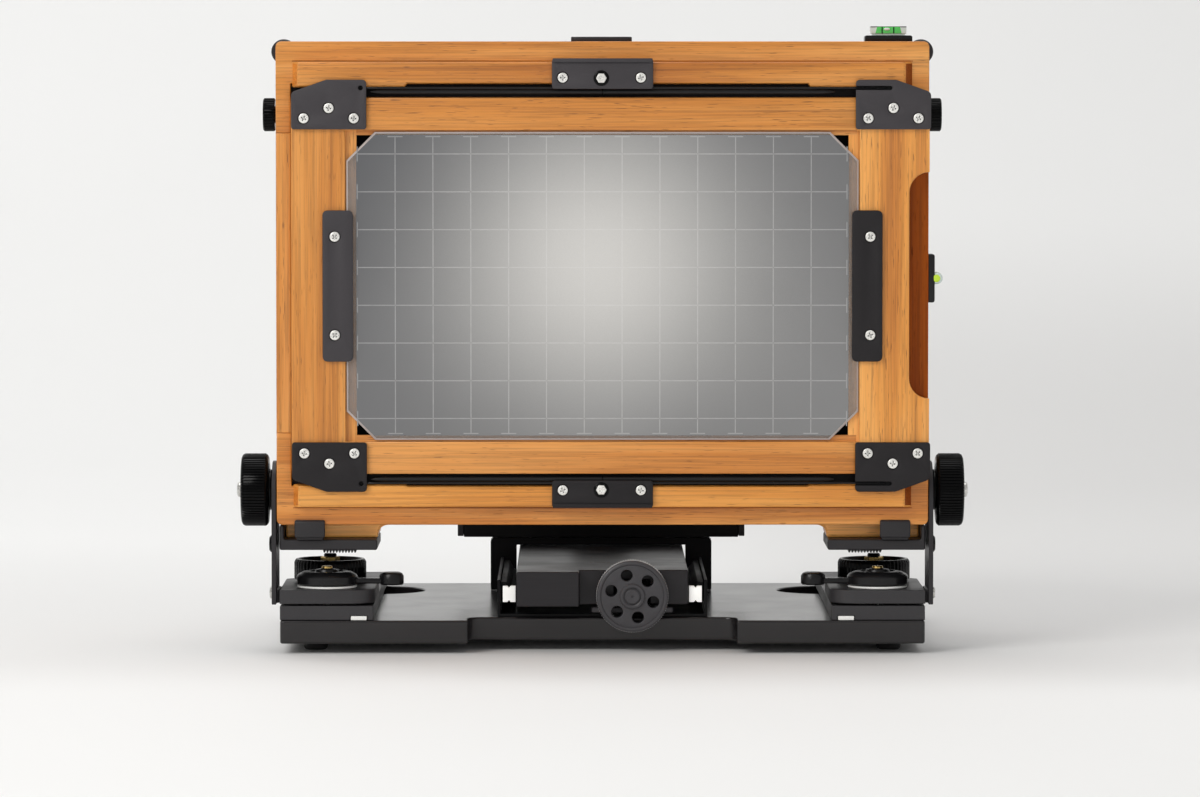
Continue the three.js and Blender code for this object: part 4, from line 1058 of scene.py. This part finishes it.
for side_name, side in SIDES:
    shoe = Box("shoe_" + side_name)
    plate = Box("bracket_plate_" + side_name)
    arm = Box("side_arm_" + side_name)
    foot = Box("foot_bar_" + side_name)
    lever = Box("lock_lever_" + side_name)
    rim = Box("rim_knob_" + side_name)
    x = shoe.cx
    soften("shoe_" + side_name, STEEL, 0.25)
    soften("bracket_plate_" + side_name, BRACKET, 0.5, 3)
    soften("side_arm_" + side_name, BLACK, 0.25)
    soften("foot_bar_" + side_name, BLACK, 0.7, 3)
    y = back + 14.0

    white = Piece("washer_" + side_name, "slide_lock_" + side_name, "nylon", NYLON)
    white.lathe([(3.0, plate.z1 + 0.1), (11.6, plate.z1 + 0.1), (12.0, plate.z1 + 0.4), (12.0, lever.z0 - 0.15),
                 (3.0, lever.z0 - 0.15)], "z", (x, y), 56)
    white.done()

    turn = Piece(f"lock_lever_{side_name}_arm", "slide_lock_" + side_name, "black_knob", LEVER, BRASS, STEEL,
                 replaces=("lock_lever_" + side_name,))
    z0, z1 = lever.z0, lever.z1
    turn.lathe([(2.5, z0 + 0.3), (11.6, z0 + 0.1), (12.3, z0 + 0.7), (12.3, z0 + 3.4), (11.7, z0 + 4.3),
                (9.9, z0 + 5.3), (8.8, z0 + 5.5), (7.2, z0 + 5.5), (6.8, z0 + 5.1), (5.0, z0 + 5.1), (4.6, z1),
                (2.5, z1)], "z", (x, y), 64)
    tip_x = x - side * 26.0
    arm_outline = [(x - side * 11.0, y - 3.4), (tip_x + side * 3.0, y - 2.3), (tip_x + side * 3.0, y + 2.3),
                   (x - side * 11.0, y + 3.4)]
    turn.prism(arm_outline, "z", z0 + 0.5, z0 + 2.7, bevel=0.45)
    turn.lathe([(0, z0), (4.4, z0), (4.9, z0 + 0.6), (4.9, z0 + 3.6), (4.3, z0 + 4.6), (3.2, z0 + 5.1),
                (0, z0 + 5.1)], "z", (tip_x, y), 40)
    turn.lathe([(2.3, z1 - 1.5), (3.9, z1 - 1.5), (3.9, z1 - 0.1), (3.6, z1 + 0.2), (2.3, z1 + 0.2)], "z", (x, y), 32)
    turn.screw("z", 1, z1 + 0.9, x, y, 2.15, 1, 0, 0.7, min(1.0, z1 + 0.8 - shoe.z1), 0.5)
    turn.done()

    y = back + 45.0
    knob = Piece(f"rim_knob_{side_name}_turned", "swing_lock_" + side_name, "black_knob", KNOB, BRASS,
                 replaces=("rim_knob_" + side_name,))
    r = 14.7
    z0, z1 = rim.z0, rim.z1
    knob.lathe([(2.5, z0), (r - 1.2, z0), (r - 0.4, z0 + 0.5, 1), (r, z0 + 1.0, 1), (r, z1 - 1.4, 1), (r - 0.3, z1 - 0.7, 1),
                (r - 0.8, z1), (r - 1.7, z1), (r - 2.1, z1 - 0.5), (r - 2.4, z0 + 3.4), (r - 3.4, z0 + 2.6), (6.4, z0 + 2.6),
                (6.0, z0 + 3.0), (5.8, z1 - 2.0), (5.2, z1 - 1.6), (2.5, z1 - 1.6)], "z", (x, y), ridges=48, depth=0.35)
    knob.lathe([(2.1, z1 - 1.8), (3.9, z1 - 1.8), (3.9, z1 + 0.5), (3.6, z1 + 0.8), (2.1, z1 + 0.8)], "z", (x, y), 6,
               material=1)
    knob.lathe([(0, z1 + 0.2), (2.6, z1 + 0.2), (2.6, z1 + 1.7), (2.2, z1 + 2.2), (0.9, z1 + 2.3), (0, z1 + 2.3)], "z",
               (x, y), 28)
    knob.done(smooth=40)

    # Pivot, button and rack of the foot.
    out = arm.x1 if side > 0 else arm.x0
    screws = Piece("bracket_screws_" + side_name, "rear_bracket", "steel", STEEL, KNOB)
    screws.lathe([(0, out - side * 2.0), (3.4, out - side * 0.2), (3.4, out + side * 0.9), (2.7, out + side * 1.5),
                  (0, out + side * 1.7)], "x", (back + 14.0, 43.3), 36, material=1)
    screws.lathe([(0, out - side * 1.5), (2.35, out - side * 0.5), (2.35, out + side * 0.7), (1.9, out + side * 1.1),
                  (0.8, out + side * 1.2), (0, out + side * 1.2)], "x", (back + 7.5, 24.0), 32)
    screws.lathe([(0, out - side * 1.5), (2.35, out - side * 0.5), (2.35, out + side * 0.7), (1.9, out + side * 1.1),
                  (0.8, out + side * 1.2), (0, out + side * 1.2)], "x", (back + 20.5, 24.0), 32)
    screws.done()

    rack = Piece("rack_" + side_name, "rear_standard", "black_metal", KNOB)
    a, b = both(side, 98.6, 112.2)
    teeth = []
    count, depth = 11, 1.1
    step = (b - a) / count
    for k in range(count):
        teeth += [(a + step * k, foot.z0), (a + step * k + step * 0.25, foot.z0 - depth),
                  (a + step * k + step * 0.6, foot.z0 - depth)]
    teeth += [(b, foot.z0), (b, foot.z0 + 0.4), (a, foot.z0 + 0.4)]
    rack.prism(teeth, "y", foot.y0 + 1.0, foot.y0 + 13.0)
    rack.done()

# ------------------------------------------------------------------ base

board = Box("base_board")
soften("base_board", LAMINATE, 0.9, 3)
soften("tripod_socket", STEEL, 0.2)
soften("focus_bed", DARK, 0.3)
soften("focus_lock_bar", SATIN_GREY, 0.4, 3)
soften("carriage", BRUSHED, 0.6, 3)
# The saddle takes the near-black matt material: painted shade, as it sits in shade.
soften("saddle", DARK, 0.4)
for side_name, side in SIDES:
    rail = Box("side_rail_" + side_name)
    soften("side_rail_" + side_name, BRACKET, 0.4)
    strip = Piece("nylon_strip_" + side_name, "base", "nylon", NYLON)
    a, b = both(side, 94.6, 101.0)
    strip.block(a, b, rail.y0 - 0.3, rail.y0 + 62.0, board.z1 + 0.05, board.z1 + 1.7, 0.35, 3)
    strip.done()
    for end in ("front", "rear"):
        node = f"foot_{end}_{side_name}"
        box = Box(node)
        pad = Piece(node + "_pad", "base", "rubber", RUBBER, STEEL, replaces=(node,))
        r = (box.x1 - box.x0) / 2
        pad.lathe([(0, box.z0 + 0.9), (1.5, box.z0 + 0.9), (1.9, box.z0 + 0.1), (2.4, box.z0), (r - 0.9, box.z0),
                   (r - 0.3, box.z0 + 0.5), (r, box.z0 + 1.3), (r, box.z1 - 0.3), (r - 0.2, box.z1), (0, box.z1)],
                  "z", (box.cx, box.cy), 40)
        pad.lathe([(0, box.z0 + 0.6), (1.3, box.z0 + 0.6), (1.3, box.z0 + 1.2), (0, box.z0 + 1.2)], "z",
                  (box.cx, box.cy), 20, material=1)
        pad.done()

carriage = Box("carriage")
for side_name, side in SIDES:
    guide = Piece("guide_strip_" + side_name, "base", "nylon", GLOWING_GUIDE, DARK)
    near, far = 35.1, 41.0
    section = [(side * near, 19.4), (side * far, 19.4), (side * far, 27.2), (side * (near + 3.6), 27.2),
               (side * (near + 1.8), 23.8), (side * near, 22.6)]
    white_end = [(side * a, b) for a, b in (
        (near, 19.4), (37.0, 19.4), (37.7, 20.2), (38.4, 19.4), (40.2, 19.4), (40.2, 25.8), (38.4, 25.8),
        (37.7, 25.0), (37.0, 25.8), (near, 25.8))]
    guide.prism(white_end, "y", back + 17.2, back + 21.0, bevel=0.15)
    guide.prism(rounded(section, 0.3, 2), "y", back + 21.1, back + 139.0, bevel=0.25, material=1)
    guide.done()

marks = Piece("carriage_marks", "carriage", "brushed_black", MARKING)
for d in (54, 82, 111, 136):
    for a, b, deep in ((-4.9, -3.9, 2.0), (-3.3, 1.6, 0.9), (2.2, 3.2, 2.0)):
        marks.block(a, b, back + d - deep, back + d + deep, carriage.z1 - 0.1, carriage.z1 + 0.05, 0.02, 1)
marks.done()

# ------------------------------------------------------------------ focusing

box = Box("focus_knob")
cx, cz, r = box.cx, box.cz, (box.x1 - box.x0) / 2
knob = Piece("focus_knob_turned", "focus_screw", "black_metal", SATIN_GREY, KNURL_GREY_HIGHLIGHT, replaces=("focus_knob",))
HOLES = [(cx + 8.7 * math.cos(math.radians(60 * k - 15)), cz + 8.7 * math.sin(math.radians(60 * k - 15)))
         for k in range(6)]
knob.lathe([(12.4, box.y0 + 0.6), (12.9, box.y0 + 0.1), (13.5, box.y0), (r - 0.35, box.y0 + 0.3), (r - 0.1, box.y0 + 0.9),
            (r - 0.7, box.y0 + 1.0), (r - 0.7, box.y1 - 0.5), (r - 0.6, box.y1), (12.4, box.y1)], "y", (cx, cz), 96)
knob.lathe([(r - 0.8, box.y0 + 1.02), (r, box.y0 + 1.05, 1), (r, box.y1 - 0.6, 1), (r - 0.8, box.y1 - 0.55)], "y",
           (cx, cz), ridges=90, depth=0.32, material=1)
knob.prism(circle(cx, cz, 12.55, 72), "y", box.y0 + 0.35, box.y1 - 0.4,
           holes=[circle(x, z, 2.38, 28) for x, z in HOLES], bevel=0.25)
knob.lathe([(0, box.y0 - 0.1), (0.35, box.y0 - 0.1), (0.5, box.y0 - 0.45), (2.6, box.y0 - 0.7), (3.0, box.y0 - 0.4),
            (3.05, box.y0 + 0.9), (3.45, box.y0 + 0.9), (3.5, box.y0 - 0.3), (4.0, box.y0 - 0.6),
            (4.7, box.y0 - 0.5), (5.2, box.y0), (5.3, box.y0 + 1.0), (0, box.y0 + 1.2)], "y", (cx, cz), 56)
knob.done()

box = Box("lead_screw")
thread = Piece("lead_screw_thread", "focus_screw", "steel", STEEL, replaces=("lead_screw",))
bm = bmesh.new()
n, r0, r1, pitch = 24, 2.35, 3.0, 1.6
turns = int((box.y1 - box.y0 - 6) / pitch)
rings = []
for i in range(turns * n + 1):
    angle = TAU * i / n
    y = box.y0 + 3 + pitch * i / n
    row = []
    for radius, shift in ((r0, -0.5), (r1, -0.15), (r1, 0.15), (r0, 0.5)):
        row.append(bm.verts.new((box.cx + radius * math.cos(angle), y + shift * pitch * 0.9,
                                 box.cz + radius * math.sin(angle))))
    rings.append(row)
for a, b in zip(rings, rings[1:]):
    for k in range(4):
        bm.faces.new((a[k - 1], a[k], b[k], b[k - 1]))
bm.faces.new(rings[0])
bm.faces.new(rings[-1])
thread.take(bm)
thread.lathe([(0, box.y0), (2.6, box.y0), (2.6, box.y0 + 2.6), (2.4, box.y0 + 2.8), (2.4, box.y1 - 1), (2.0, box.y1),
              (0, box.y1)], "y", (box.cx, box.cz), 28)
thread.done()

# ------------------------------------------------------------------ front standard, lens and shutter

soften("front_cross_bar", DARK, 0.3)
for node in ("front_arm_right", "front_arm_left", "rise_bracket"):
    soften(node, BLACK, 0.3)
soften("lens_board", BLACK, 0.5, 3)
soften("aperture_lever", BLACK, 0.2)
soften("cocking_lever", STEEL, 0.2)

standard = Box("front_arm_right")
for side_name, side in SIDES:
    node = "front_knob_" + side_name
    box = Box(node)
    face = box.x1 if side > 0 else box.x0
    near = box.x0 if side > 0 else box.x1
    start = face - side * 10.6
    r = (box.z1 - box.z0) / 2
    knob = Piece(node + "_turned", "front_lock_" + side_name, "black_knob", KNOB, STEEL, replaces=(node,))
    knob.lathe([(0, near), (2, near), (2, start), (6.6, start), (7, start + side * 0.4), (7, start + side * 1.9),
                (r - 0.8, start + side * 2.4, 1), (r, start + side * 3.2, 1), (r, face - side * 1.3, 1),
                (r - 0.5, face - side * 0.5, 1), (r - 1.4, face), (6.6, face), (6.1, face - side * 0.6),
                (0, face - side * 0.6)], "x", (box.cy, box.cz), ridges=36, depth=0.5)
    knob.screw("x", side, face - side * 0.6, box.cy, box.cz, 2.3, 1, 0, 0.2, 0.3, 0.3)
    knob.done()

box = Box("swing_clamp_knob")
knob = Piece("swing_clamp_turned", "swing_clamp", "black_knob", KNOB, BRASS, replaces=("swing_clamp_knob",))
z0, z1 = box.z0, box.z1
knob.lathe([(0, z0), (3, z0), (3, z1 - 9.7), (8.6, z1 - 9.7), (9, z1 - 9.3), (9, z1 - 8), (12.2, z1 - 7.4, 1),
            (13, z1 - 6.7, 1), (13, z1 - 1.4, 1), (12.5, z1 - 0.6, 1), (11.6, z1), (8.4, z1), (7.8, z1 - 0.7),
            (0, z1 - 0.7)], "z", (box.cx, box.cy), ridges=40, depth=0.5)
knob.lathe([(0, z1 - 0.9), (2.2, z1 - 0.9), (2.2, z1 - 0.2), (1.8, z1), (0, z1)], "z", (box.cx, box.cy), 24, material=1)
knob.done()

lens_board = Box("lens_board")
shutter = Box("shutter_body")
axis_x, axis_z = 0.0, lens_board.cz
catch = Piece("board_catch", "lens_stage", "black_metal", BLACK, STEEL)
catch.prism(rounded([(-17, lens_board.z1 + 2.6), (17, lens_board.z1 + 2.6), (17, lens_board.z1 - 0.6),
                     (6, lens_board.z1 - 2.4), (-6, lens_board.z1 - 2.4), (-17, lens_board.z1 - 0.6)], 0.8),
            "y", lens_board.y1 + 0.15, lens_board.y1 + 1.9, bevel=0.35)
for x in (-12.0, 12.0):
    catch.screw("y", 1, lens_board.y1 + 1.9, x, lens_board.z1 + 0.9, 1.5, 1, 0, 0.3 + x, 0.8, 0.25)
catch.block(-17, 17, lens_board.y1 + 0.15, lens_board.y1 + 1.5, lens_board.z0 - 2.6, lens_board.z0 + 2.2, 0.35)
catch.done()

lens = Piece("shutter_case", "lens_stage", "shutter_black", SHUTTER, BLACK, STEEL, WHITE_MARK, KNOB,
             replaces=("shutter_body",))
y_board = lens_board.y1 + 0.15
y_front = shutter.y1
shoulder = y_front - 5.3
lens.lathe([(16, shutter.y0), (18.2, shutter.y0), (18.7, shutter.y0 + 0.6), (20.7, shutter.y0 + 2.2),
            (20.7, y_board), (29.2, y_board), (30, y_board + 0.8), (30, y_board + 3.2), (29.4, y_board + 3.5),
            (29.4, y_board + 4.1), (30, y_board + 4.4), (30, shoulder - 2.2), (29.5, shoulder - 1.9),
            (29.5, shoulder - 1.5), (30, shoulder - 1.2), (30, shoulder - 0.5), (29.4, shoulder), (27, shoulder),
            (27, y_front - 0.5), (26.5, y_front), (16.6, y_front), (16, y_front - 0.6)],
           "y", (axis_x, axis_z), 96)
lens.lathe([(18.9, lens_board.y0 - 7.0), (24.2, lens_board.y0 - 7.0, 1), (25.0, lens_board.y0 - 6.2, 1),
            (25.0, lens_board.y0 - 0.6, 1), (24.2, lens_board.y0 - 0.2, 0), (18.9, lens_board.y0 - 0.2)],
           "y", (axis_x, axis_z), ridges=36, depth=0.6, material=1)
for k in range(9):  # aperture scale marks, plain ticks
    angle = math.radians(-130 + 10 * k)
    bm = bmesh.new()
    bmesh.ops.create_cube(bm, size=1.0)
    length = 1.5 if k % 2 else 2.3
    bm.transform(Matrix.Translation((axis_x, y_board + 2.0 + length / 2 - 1.1, axis_z)) @ Matrix.Rotation(-angle, 4, "Y")
                 @ Matrix.Translation((30.0, 0, 0)) @ Matrix.Diagonal((0.16, length, 0.34, 1)))
    lens.take(bm, 3)
release = math.radians(160)
rx, rz = axis_x + 30.5 * math.cos(release), axis_z + 30.5 * math.sin(release)
lens.tube([(axis_x + r_ * math.cos(release), y_board + 7.0, axis_z + r_ * math.sin(release)) for r_ in (27, 33.6, 34.2)],
          [2.4, 2.4, 1.9], 24, 4)
sync = math.radians(205)
lens.tube([(axis_x + r_ * math.cos(sync), y_board + 8.0, axis_z + r_ * math.sin(sync)) for r_ in (27, 32.6, 33.0)],
          [1.7, 1.7, 1.4], 20, 2)
lens.done()

ring = Box("speed_ring")
speed = Piece("speed_ring_turned", "speed_selector", "shutter_black", SHUTTER, WHITE_MARK, replaces=("speed_ring",))
r = (ring.x1 - ring.x0) / 2
speed.lathe([(27.3, ring.y0), (r - 0.4, ring.y0, 1), (r, ring.y0 + 0.4, 1), (r, ring.y1 - 1.6, 1), (r - 0.9, ring.y1 - 0.9, 0),
             (r - 1.3, ring.y1), (27.3, ring.y1)], "y", (axis_x, axis_z), ridges=72, depth=0.35)
for k in range(11):
    angle = math.radians(40 + 10 * k)
    bm = bmesh.new()
    bmesh.ops.create_cube(bm, size=1.0)
    bm.transform(Matrix.Translation((axis_x, ring.y1, axis_z)) @ Matrix.Rotation(-angle, 4, "Y")
                 @ Matrix.Translation((28.4, 0, 0)) @ Matrix.Diagonal((1.3 if k % 2 else 1.9, 0.14, 0.34, 1)))
    speed.take(bm, 1)
speed.done()

barrel = Box("front_barrel")
r = (barrel.x1 - barrel.x0) / 2
tube = Piece("front_barrel_turned", "lens_stage", "shutter_black", KNOB, replaces=("front_barrel",))
tube.lathe([(17.5, barrel.y0), (r - 3, barrel.y0), (r - 2.4, barrel.y0 + 0.6), (r - 2.4, barrel.y0 + 2.6), (r - 0.3, barrel.y0 + 4.2, 1),
            (r, barrel.y0 + 4.8, 1), (r, barrel.y0 + 8.6, 1), (r - 0.4, barrel.y0 + 9.0, 0), (r - 0.4, barrel.y0 + 9.5), (r, barrel.y0 + 9.8),
            (r, barrel.y1 - 0.5), (r - 0.5, barrel.y1), (r - 1.3, barrel.y1), (r - 1.6, barrel.y1 - 0.4),
            (r - 2.0, barrel.y1 - 0.7), (r - 1.7, barrel.y1 - 1.1), (r - 2.1, barrel.y1 - 1.5), (r - 1.8, barrel.y1 - 1.9),
            (r - 2.2, barrel.y1 - 2.3), (19.8, barrel.y1 - 4.2), (19.2, barrel.y1 - 5.2), (18.2, barrel.y1 - 5.6),
            (17.5, barrel.y1 - 8)], "y", (axis_x, axis_z), ridges=44, depth=0.4)
tube.done()

element = Box("front_element")
glass = Piece("front_element_glass", "lens_stage", "lens_glass", LENS_GLASS, replaces=("front_element",))
edge = (element.x1 - element.x0) / 2
steps = 14
dome = [(edge * (1 - k / steps), element.y0 + 1.8 + (element.y1 - element.y0 - 1.8) * (1 - (1 - k / steps) ** 2))
        for k in range(steps)]
glass.lathe([(0, element.y0), (edge, element.y0), *dome, (0, element.y1)], "y", (axis_x, axis_z), 64)
glass.done(smooth=40)

cell = Piece("rear_lens_cell", "lens_stage", "shutter_black", KNOB, LENS_GLASS)
cell.lathe([(14.8, shutter.y0 - 9.5), (17.6, shutter.y0 - 9.5), (18.2, shutter.y0 - 8.9), (18.2, shutter.y0 - 0.2),
            (14.8, shutter.y0 - 0.2)], "y", (axis_x, axis_z), 64)
cell.lathe([(0, shutter.y0 - 9.2), (6, shutter.y0 - 9.0), (11, shutter.y0 - 8.3), (14.9, shutter.y0 - 7.2),
            (14.9, shutter.y0 - 5.0), (0, shutter.y0 - 5.0)], "y", (axis_x, axis_z), 56, material=1)
cell.done()

# ------------------------------------------------------------------ bellows

skin = Box("bellows")
SECTIONS = [("rear_standard", "rear_bracket", 3), ("rear_bracket", "rear_shoe", 1), ("rear_shoe", "base", 3),
            ("base", "carriage", 5), ("carriage", "front_standard", 2), ("front_standard", "rise_carrier", 4),
            ("rise_carrier", "lens_stage", 2)]
FOLDS = sum(count for _, _, count in SECTIONS)
REAR_HALF, FRONT_HALF = (105.0, 81.0), (43.0, 43.0)
FOLD_DEPTH, WALL = 4.6, 0.55
pitch = (skin.y1 - skin.y0) / FOLDS


def bellows_ring(step, shrink):
    """The outline of the folded skin at a half-fold step: ridges have broad cut corners, valleys sharp ones."""
    t = step / (FOLDS * 2)
    half_x = REAR_HALF[0] + (FRONT_HALF[0] - REAR_HALF[0]) * t
    half_z = REAR_HALF[1] + (FRONT_HALF[1] - REAR_HALF[1]) * t
    ridge = step % 2
    out = (FOLD_DEPTH if ridge else 0.0) - shrink
    cut = 8.0 if ridge else 2.2
    a, b = half_x + out, half_z + out
    wave = 0.25 * math.sin(step * 2.1) + 0.2 * math.sin(step * 0.7)
    points = []
    for sx, sz in ((1, 1), (-1, 1), (-1, -1), (1, -1)):
        corner = [(sx * a, sz * (b - cut)), (sx * (a - cut), sz * b)]
        points += corner if sx * sz > 0 else corner[::-1]
    ring = []
    for i, p in enumerate(points):
        q = points[(i + 1) % len(points)]
        ring.append(p)
        if i % 2:  # a long side: middle points that sag a little
            for s_ in (0.25, 0.5, 0.75):
                sag = (0.35 + wave * 0.5) * math.sin(math.pi * s_) * (1 if ridge else 0.6)
                x, z = p[0] + (q[0] - p[0]) * s_, p[1] + (q[1] - p[1]) * s_
                ring.append((x - sag * (1 if x > a * 0.95 else -1 if x < -a * 0.95 else 0),
                             z - sag * (1 if z > b * 0.95 else -1 if z < -b * 0.95 else 0)))
    return ring


first = 0
for number, (body_a, body_b, count) in enumerate(SECTIONS):
    start_y, end_y = skin.y0 + pitch * first, skin.y0 + pitch * (first + count)
    piece = Piece(f"bellows_{number + 1}", (body_a, body_b, (0, start_y, axis_z), (0, end_y, axis_z)),
                  "bellows_leather", LEATHER, replaces=("bellows",))
    bm = bmesh.new()
    layers = []
    for shrink in (0.0, WALL):
        rings = []
        for step in range(first * 2, (first + count) * 2 + 1):
            y = skin.y0 + pitch * step / 2
            rings.append([bm.verts.new((x, y, axis_z + z)) for x, z in bellows_ring(step, shrink)])
        for a, b in zip(rings, rings[1:]):
            for k in range(len(a)):
                bm.faces.new((a[k - 1], a[k], b[k], b[k - 1]))
        layers.append(rings)
    for end in (0, -1):
        a, b = layers[0][end], layers[1][end]
        for k in range(len(a)):
            bm.faces.new((a[k - 1], a[k], b[k], b[k - 1]))
    piece.take(bm)
    piece.done(smooth=25)
    first += count

# Mounting frames that the bellows' ends are glued to.
collar = Piece("bellows_collar_rear", "rear_standard", "black_metal", DARK)
collar.prism(rounded(rectangle(-111.6, 111.6, axis_z - 84.2, axis_z + 84.0), 3.0), "y", skin.y0 - 4.5, skin.y0 - 0.1,
             holes=[rounded(rectangle(-103.5, 103.5, axis_z - 79.5, axis_z + 79.5), 2.0)], bevel=0.4)
collar.done()
collar = Piece("bellows_collar_front", "lens_stage", "black_metal", DARK)
collar.prism(rounded(rectangle(-46.5, 46.5, axis_z - 46.5, axis_z + 46.5), 3.0), "y", skin.y1 - 0.1, lens_frame.y0 + 0.05,
             holes=[rounded(rectangle(-40, 40, axis_z - 40, axis_z + 40), 2.0)], bevel=0.08)
collar.done()

# ------------------------------------------------------------------ stage, light and camera

SKY_COLOUR = (1.0, 0.995, 0.985, 1)
SKY_SEEN = 0.86  # brightness that a camera sees past the sweep
WORLD = bpy.data.worlds.new("studio")
bpy.context.scene.world = WORLD
WORLD.use_nodes = True
background = WORLD.node_tree.nodes["Background"]
background.inputs[0].default_value = SKY_COLOUR
path = WORLD.node_tree.nodes.new("ShaderNodeLightPath")
glow = WORLD.node_tree.nodes.new("ShaderNodeMapRange")
glow.inputs["To Min"].default_value = 0.50  # light on the object
glow.inputs["To Max"].default_value = SKY_SEEN
WORLD.node_tree.links.new(path.outputs["Is Camera Ray"], glow.inputs["Value"])
WORLD.node_tree.links.new(glow.outputs[0], background.inputs[1])

bm = bmesh.new()
profile = [(-3.2, 0.0), (0.9, 0.0)]
profile += [(0.9 + 1.2 * math.sin(math.radians(a)), 1.2 - 1.2 * math.cos(math.radians(a))) for a in range(6, 91, 6)]
profile += [(2.1, 3.4)]
rows = [[bm.verts.new((x, y, z)) for x in (-3.5, 3.5)] for y, z in profile]
for a, b in zip(rows, rows[1:]):
    bm.faces.new((a[0], a[1], b[1], b[0]))
sweep_mesh = bpy.data.meshes.new("studio_sweep")
bm.to_mesh(sweep_mesh)
bm.free()
sweep_mesh.polygons.foreach_set("use_smooth", [True] * len(sweep_mesh.polygons))
paper = Shader("paper_sweep", (0.84, 0.84, 0.835), 0.75)
across, along, height = paper.separate()
# Painted shadow on the paper: a soft darker patch on the floor to the right of the object, and a band across the floor
# from just in front of it to behind it.
right = paper.math("MULTIPLY", paper.step(across, -0.06, 0.14), paper.step(along, -0.27, -0.05))
right = paper.math("MULTIPLY", right, paper.step(height, 0.03, 0.16, 1.0, 0.0))
shadow_band = paper.math("MULTIPLY", paper.step(along, -0.27, -0.10), paper.step(along, 0.15, 0.6, 1.0, 0.0))
shade = paper.math("MAXIMUM", paper.math("MULTIPLY", right, 0.75), paper.math("MULTIPLY", shadow_band, 0.4))
paper.set("Base Color", paper.mix(
    shade, paper.mix(paper.noise((3, 3, 3), 2, 0.5, 1.0), (0.82, 0.82, 0.815), (0.85, 0.85, 0.845)),
    (0.66, 0.655, 0.65)))
# Seen from outside, the sweep is clear, so that it hides nothing from a camera behind it.
clear = paper.add("ShaderNodeBsdfTransparent")
one_sided = paper.add("ShaderNodeMixShader")
paper.link(paper.add("ShaderNodeNewGeometry").outputs["Backfacing"], one_sided.inputs[0])
# Far to the sides and behind the camera the paper fades into the sky, so that no horizon shows.
away = paper.math("MAXIMUM", paper.step(paper.math("ABSOLUTE", across), 0.8, 2.2),
                  paper.step(paper.math("MULTIPLY", along, -1.0), 0.9, 2.3))
sky = paper.add("ShaderNodeEmission")
sky.inputs[0].default_value = SKY_COLOUR
sky.inputs[1].default_value = SKY_SEEN
fade = paper.add("ShaderNodeMixShader")
paper.link(paper.math("MULTIPLY", away, paper.add("ShaderNodeLightPath").outputs["Is Camera Ray"]), fade.inputs[0])
paper.link(paper.bsdf.outputs[0], fade.inputs[1])
paper.link(sky.outputs[0], fade.inputs[2])
paper.link(fade.outputs[0], one_sided.inputs[1])
paper.link(clear.outputs[0], one_sided.inputs[2])
paper.link(one_sided.outputs[0], paper.out.inputs[0])
sweep_mesh.materials.append(paper.mat)
sweep = bpy.data.objects.new("studio_sweep", sweep_mesh)
bpy.context.scene.collection.objects.link(sweep)


def softbox(name, location, target, size, power, colour=(1, 1, 1)):
    data = bpy.data.lights.new(name, "AREA")
    data.shape = "RECTANGLE"
    data.size, data.size_y = size
    data.energy = power
    data.color = colour
    lamp = bpy.data.objects.new(name, data)
    lamp.location = location
    lamp.rotation_euler = (Vector(target) - Vector(location)).to_track_quat("-Z", "Y").to_euler()
    bpy.context.scene.collection.objects.link(lamp)
    return lamp


softbox("key", (-1.15, -1.5, 1.25), (0, 0, 0.12), (0.9, 0.9), 18, (1.0, 0.985, 0.96))
softbox("fill", (0.4, -2.3, 0.24), (0, 0, 0.10), (1.6, 0.4), 7.5, (0.99, 0.99, 1.0)).visible_glossy = False
softbox("top", (0.0, 0.1, 1.7), (0, 0.0, 0), (1.6, 1.0), 10)
softbox("backdrop", (-0.9, 0.9, 2.0), (-0.5, 2.0, 0.5), (1.2, 0.6), 11)

camera_data = bpy.data.cameras.new("camera")
camera = bpy.data.objects.new("camera", camera_data)
bpy.context.scene.collection.objects.link(camera)
camera_data.sensor_width = 36.0
camera_data.lens = 180.0
camera_data.clip_start, camera_data.clip_end = 0.05, 30.0
camera.location = (-0.0098, -2.494, 0.222)
aim = Vector((-0.0010, -0.094, 0.1026))
camera.rotation_euler = (aim - camera.location).to_track_quat("-Z", "Y").to_euler()
bpy.context.scene.camera = camera
bpy.context.scene.view_settings.view_transform = "Standard"
